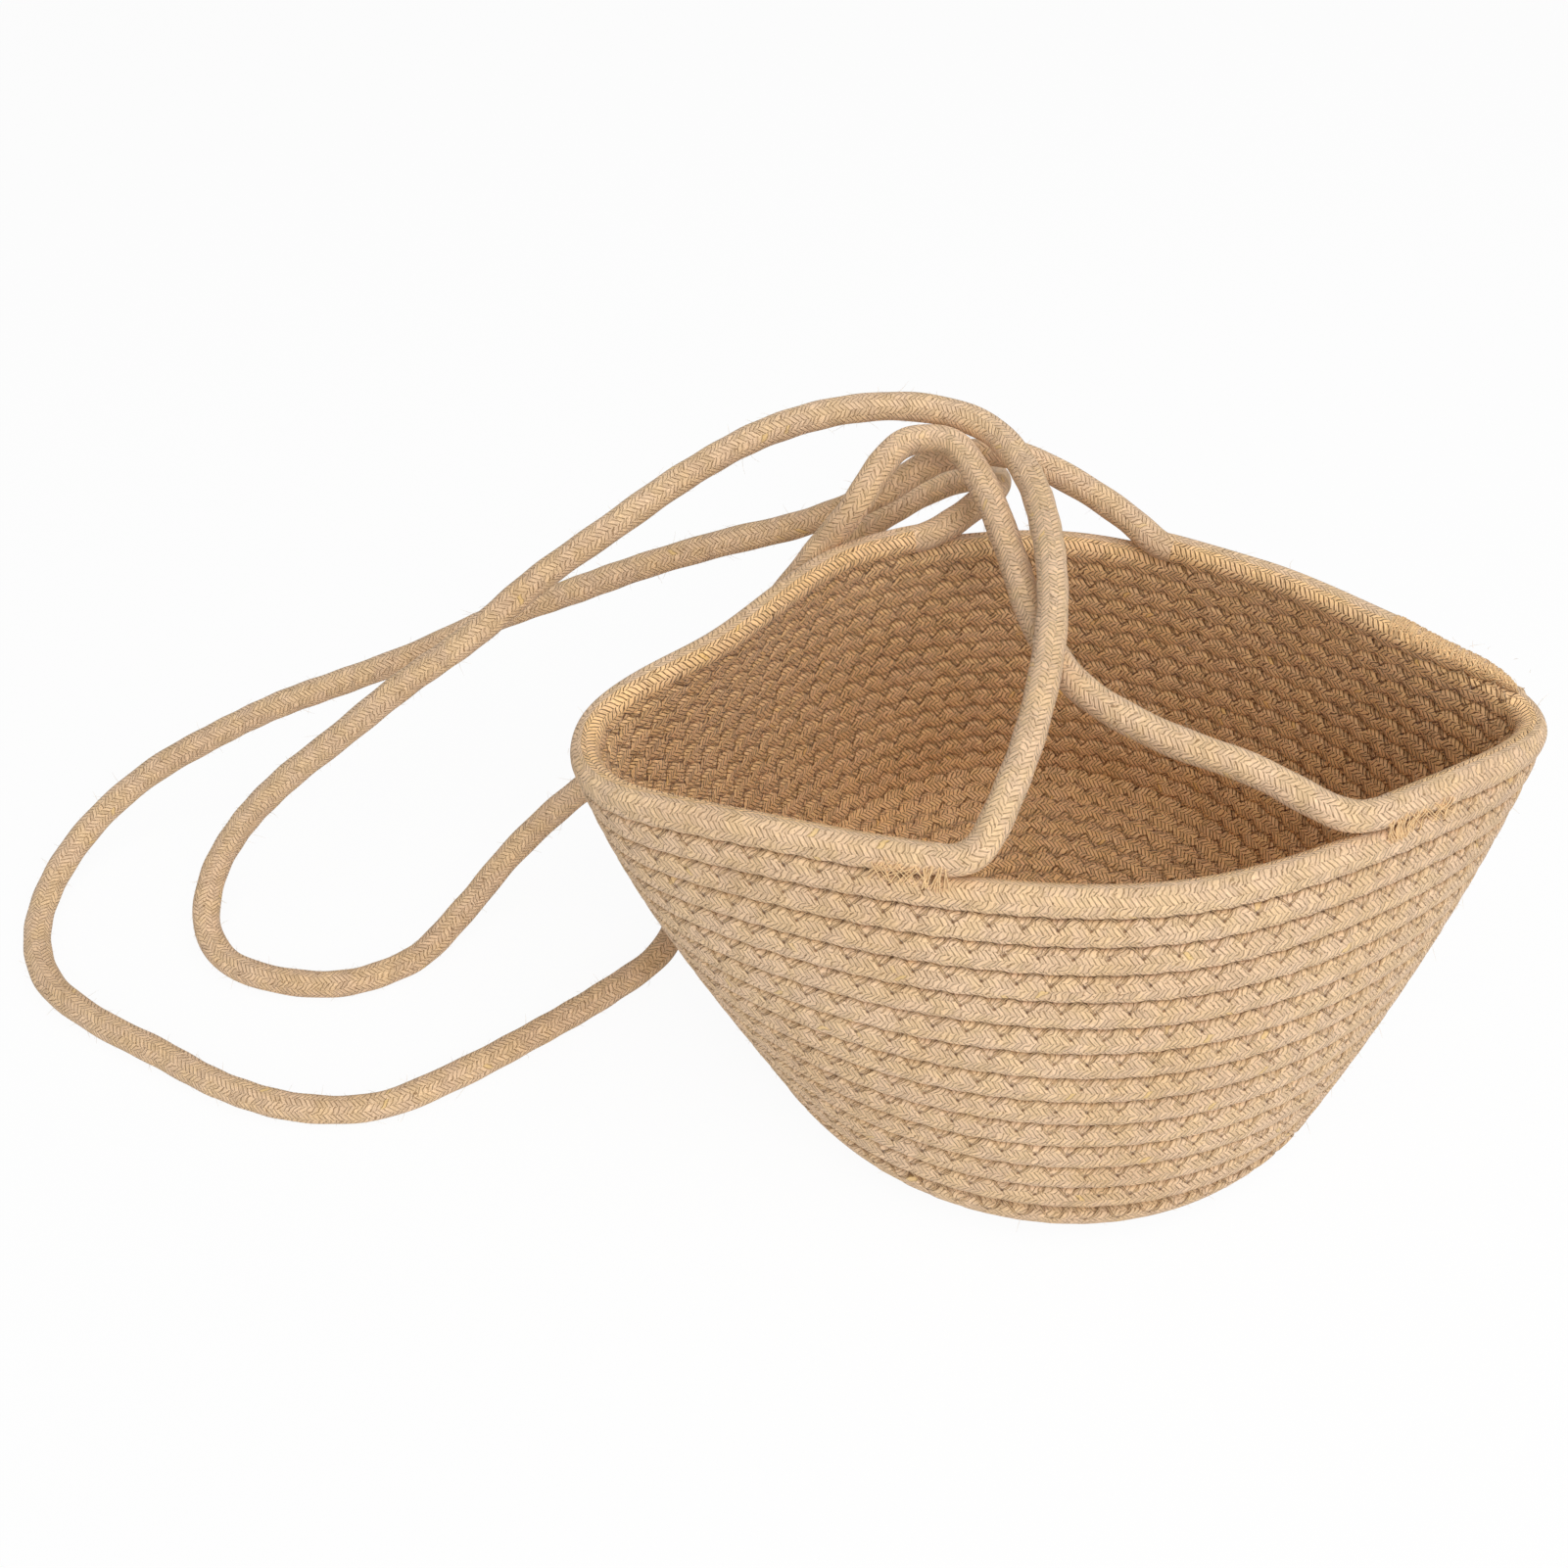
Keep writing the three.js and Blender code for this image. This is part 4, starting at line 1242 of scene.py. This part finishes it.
class PLANTER_OT_seams(bpy.types.Operator):
    """Adds the zig-zag thread inside and outside"""

    bl_idname = "planter.seams"
    bl_label = "Zig-zag seams"

    def execute(self, context):
        colour = context.scene.planter_thread.seam_colour
        material = sewing_thread("seam_thread", colour, SEAM_TWIST)
        rims = [(first - 1, last - 1) for first, last in (LEFT_RIM, RIGHT_RIM)]
        for where, start, radius in (
            ("outside", OUTER_SEAM_START, OUTER_THREAD), ("inside", INNER_SEAM_START, INNER_THREAD),
        ):
            for number, (first, last) in enumerate([(start, WALL_END - 1), *rims], 1):
                rings = seam_thread(first, last, where == "outside", radius)
                new_piece(f"seam_thread_{where}_{number}", rings[None], material, "straw_thread")
        return {"FINISHED"}


class PLANTER_OT_tacks(bpy.types.Operator):
    """Adds the hand stitches that hold the rope ends to the rim"""

    bl_idname = "planter.tacks"
    bl_label = "Tacks"

    def execute(self, context):
        material = straw_material(context)
        count = context.scene.planter_thread.tack_stitches
        for seed, (node, joint, toward) in enumerate((
            ("front_right_tack", WALL_END, -1),
            ("front_left_tack", LEFT_RIM[0], 1),
            ("back_left_tack", LEFT_RIM[1], -1),
            ("back_right_tack", RIGHT_RIM[0], 1),
        ), FIRST_TACK_SEED):
            rings = tack_stitches(joint, toward, count, np.random.default_rng(seed))
            piece = new_piece(f"{node}_thread", rings, material, "straw_thread")
            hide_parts(node)
        return {"FINISHED"}


class PLANTER_OT_cord_end(bpy.types.Operator):
    """Adds the stitches over the thinned cord end"""

    bl_idname = "planter.cord_end"
    bl_label = "Stitched cord end"

    def execute(self, context):
        count = context.scene.planter_thread.end_stitches
        rings = whipping_stitches(count, np.random.default_rng(WHIPPING_SEED))
        piece = new_piece("cord_end_stitches", rings, straw_material(context), "straw_thread")
        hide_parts("cord_end_whipping")
        return {"FINISHED"}


class PLANTER_OT_fibres(bpy.types.Operator):
    """Adds the loose fibres that stand off the cord"""

    bl_idname = "planter.fibres"
    bl_label = "Loose fibres"

    def execute(self, context):
        settings = context.scene.planter_thread
        material = cotton_fibre("cotton_fibre", settings.fibre_colour)
        rng = np.random.default_rng(FIBRE_SEED)
        for name, rope in (("front_rope_fibres", FRONT_ROPE), ("rear_rope_fibres", REAR_ROPE)):
            new_piece(name, rope_fibres(rope, settings.rope_fibres, rng), material, "rope_cotton")
        rings = wall_fibres(settings.wall_fibres, rng)
        new_piece("wall_fibres", rings, material, "wall_cotton")
        return {"FINISHED"}


class VIEW3D_PT_planter(bpy.types.Panel):
    """Lists the planter's settings and steps"""

    bl_label = "Planter"
    bl_space_type = "VIEW_3D"
    bl_region_type = "UI"
    bl_category = "Planter"

    def draw(self, context):
        for group in SETTINGS:
            settings = getattr(context.scene, group)
            for key in settings.__annotations__:
                self.layout.prop(settings, key)
        for step in STEPS:
            self.layout.operator(step.bl_idname)


STEPS = [
    PLANTER_OT_stage, PLANTER_OT_ropes, PLANTER_OT_floor, PLANTER_OT_wall, PLANTER_OT_rims,
    PLANTER_OT_seams, PLANTER_OT_tacks, PLANTER_OT_cord_end, PLANTER_OT_fibres,
]
SETTINGS = {
    "planter_cord": PlanterCordSettings,
    "planter_thread": PlanterThreadSettings,
    "planter_stage": PlanterStageSettings,
}


def register():
    for kind in (*SETTINGS.values(), *STEPS, VIEW3D_PT_planter):
        bpy.utils.register_class(kind)
    for name, kind in SETTINGS.items():
        setattr(bpy.types.Scene, name, PointerProperty(type=kind))


def unregister():
    for name in SETTINGS:
        delattr(bpy.types.Scene, name)
    for kind in (VIEW3D_PT_planter, *reversed(STEPS), *SETTINGS.values()):
        bpy.utils.unregister_class(kind)


def main():
    register()
    for step in STEPS:
        group, name = step.bl_idname.split(".")
        getattr(getattr(bpy.ops, group), name)()


if __name__ == "__main__":
    main()
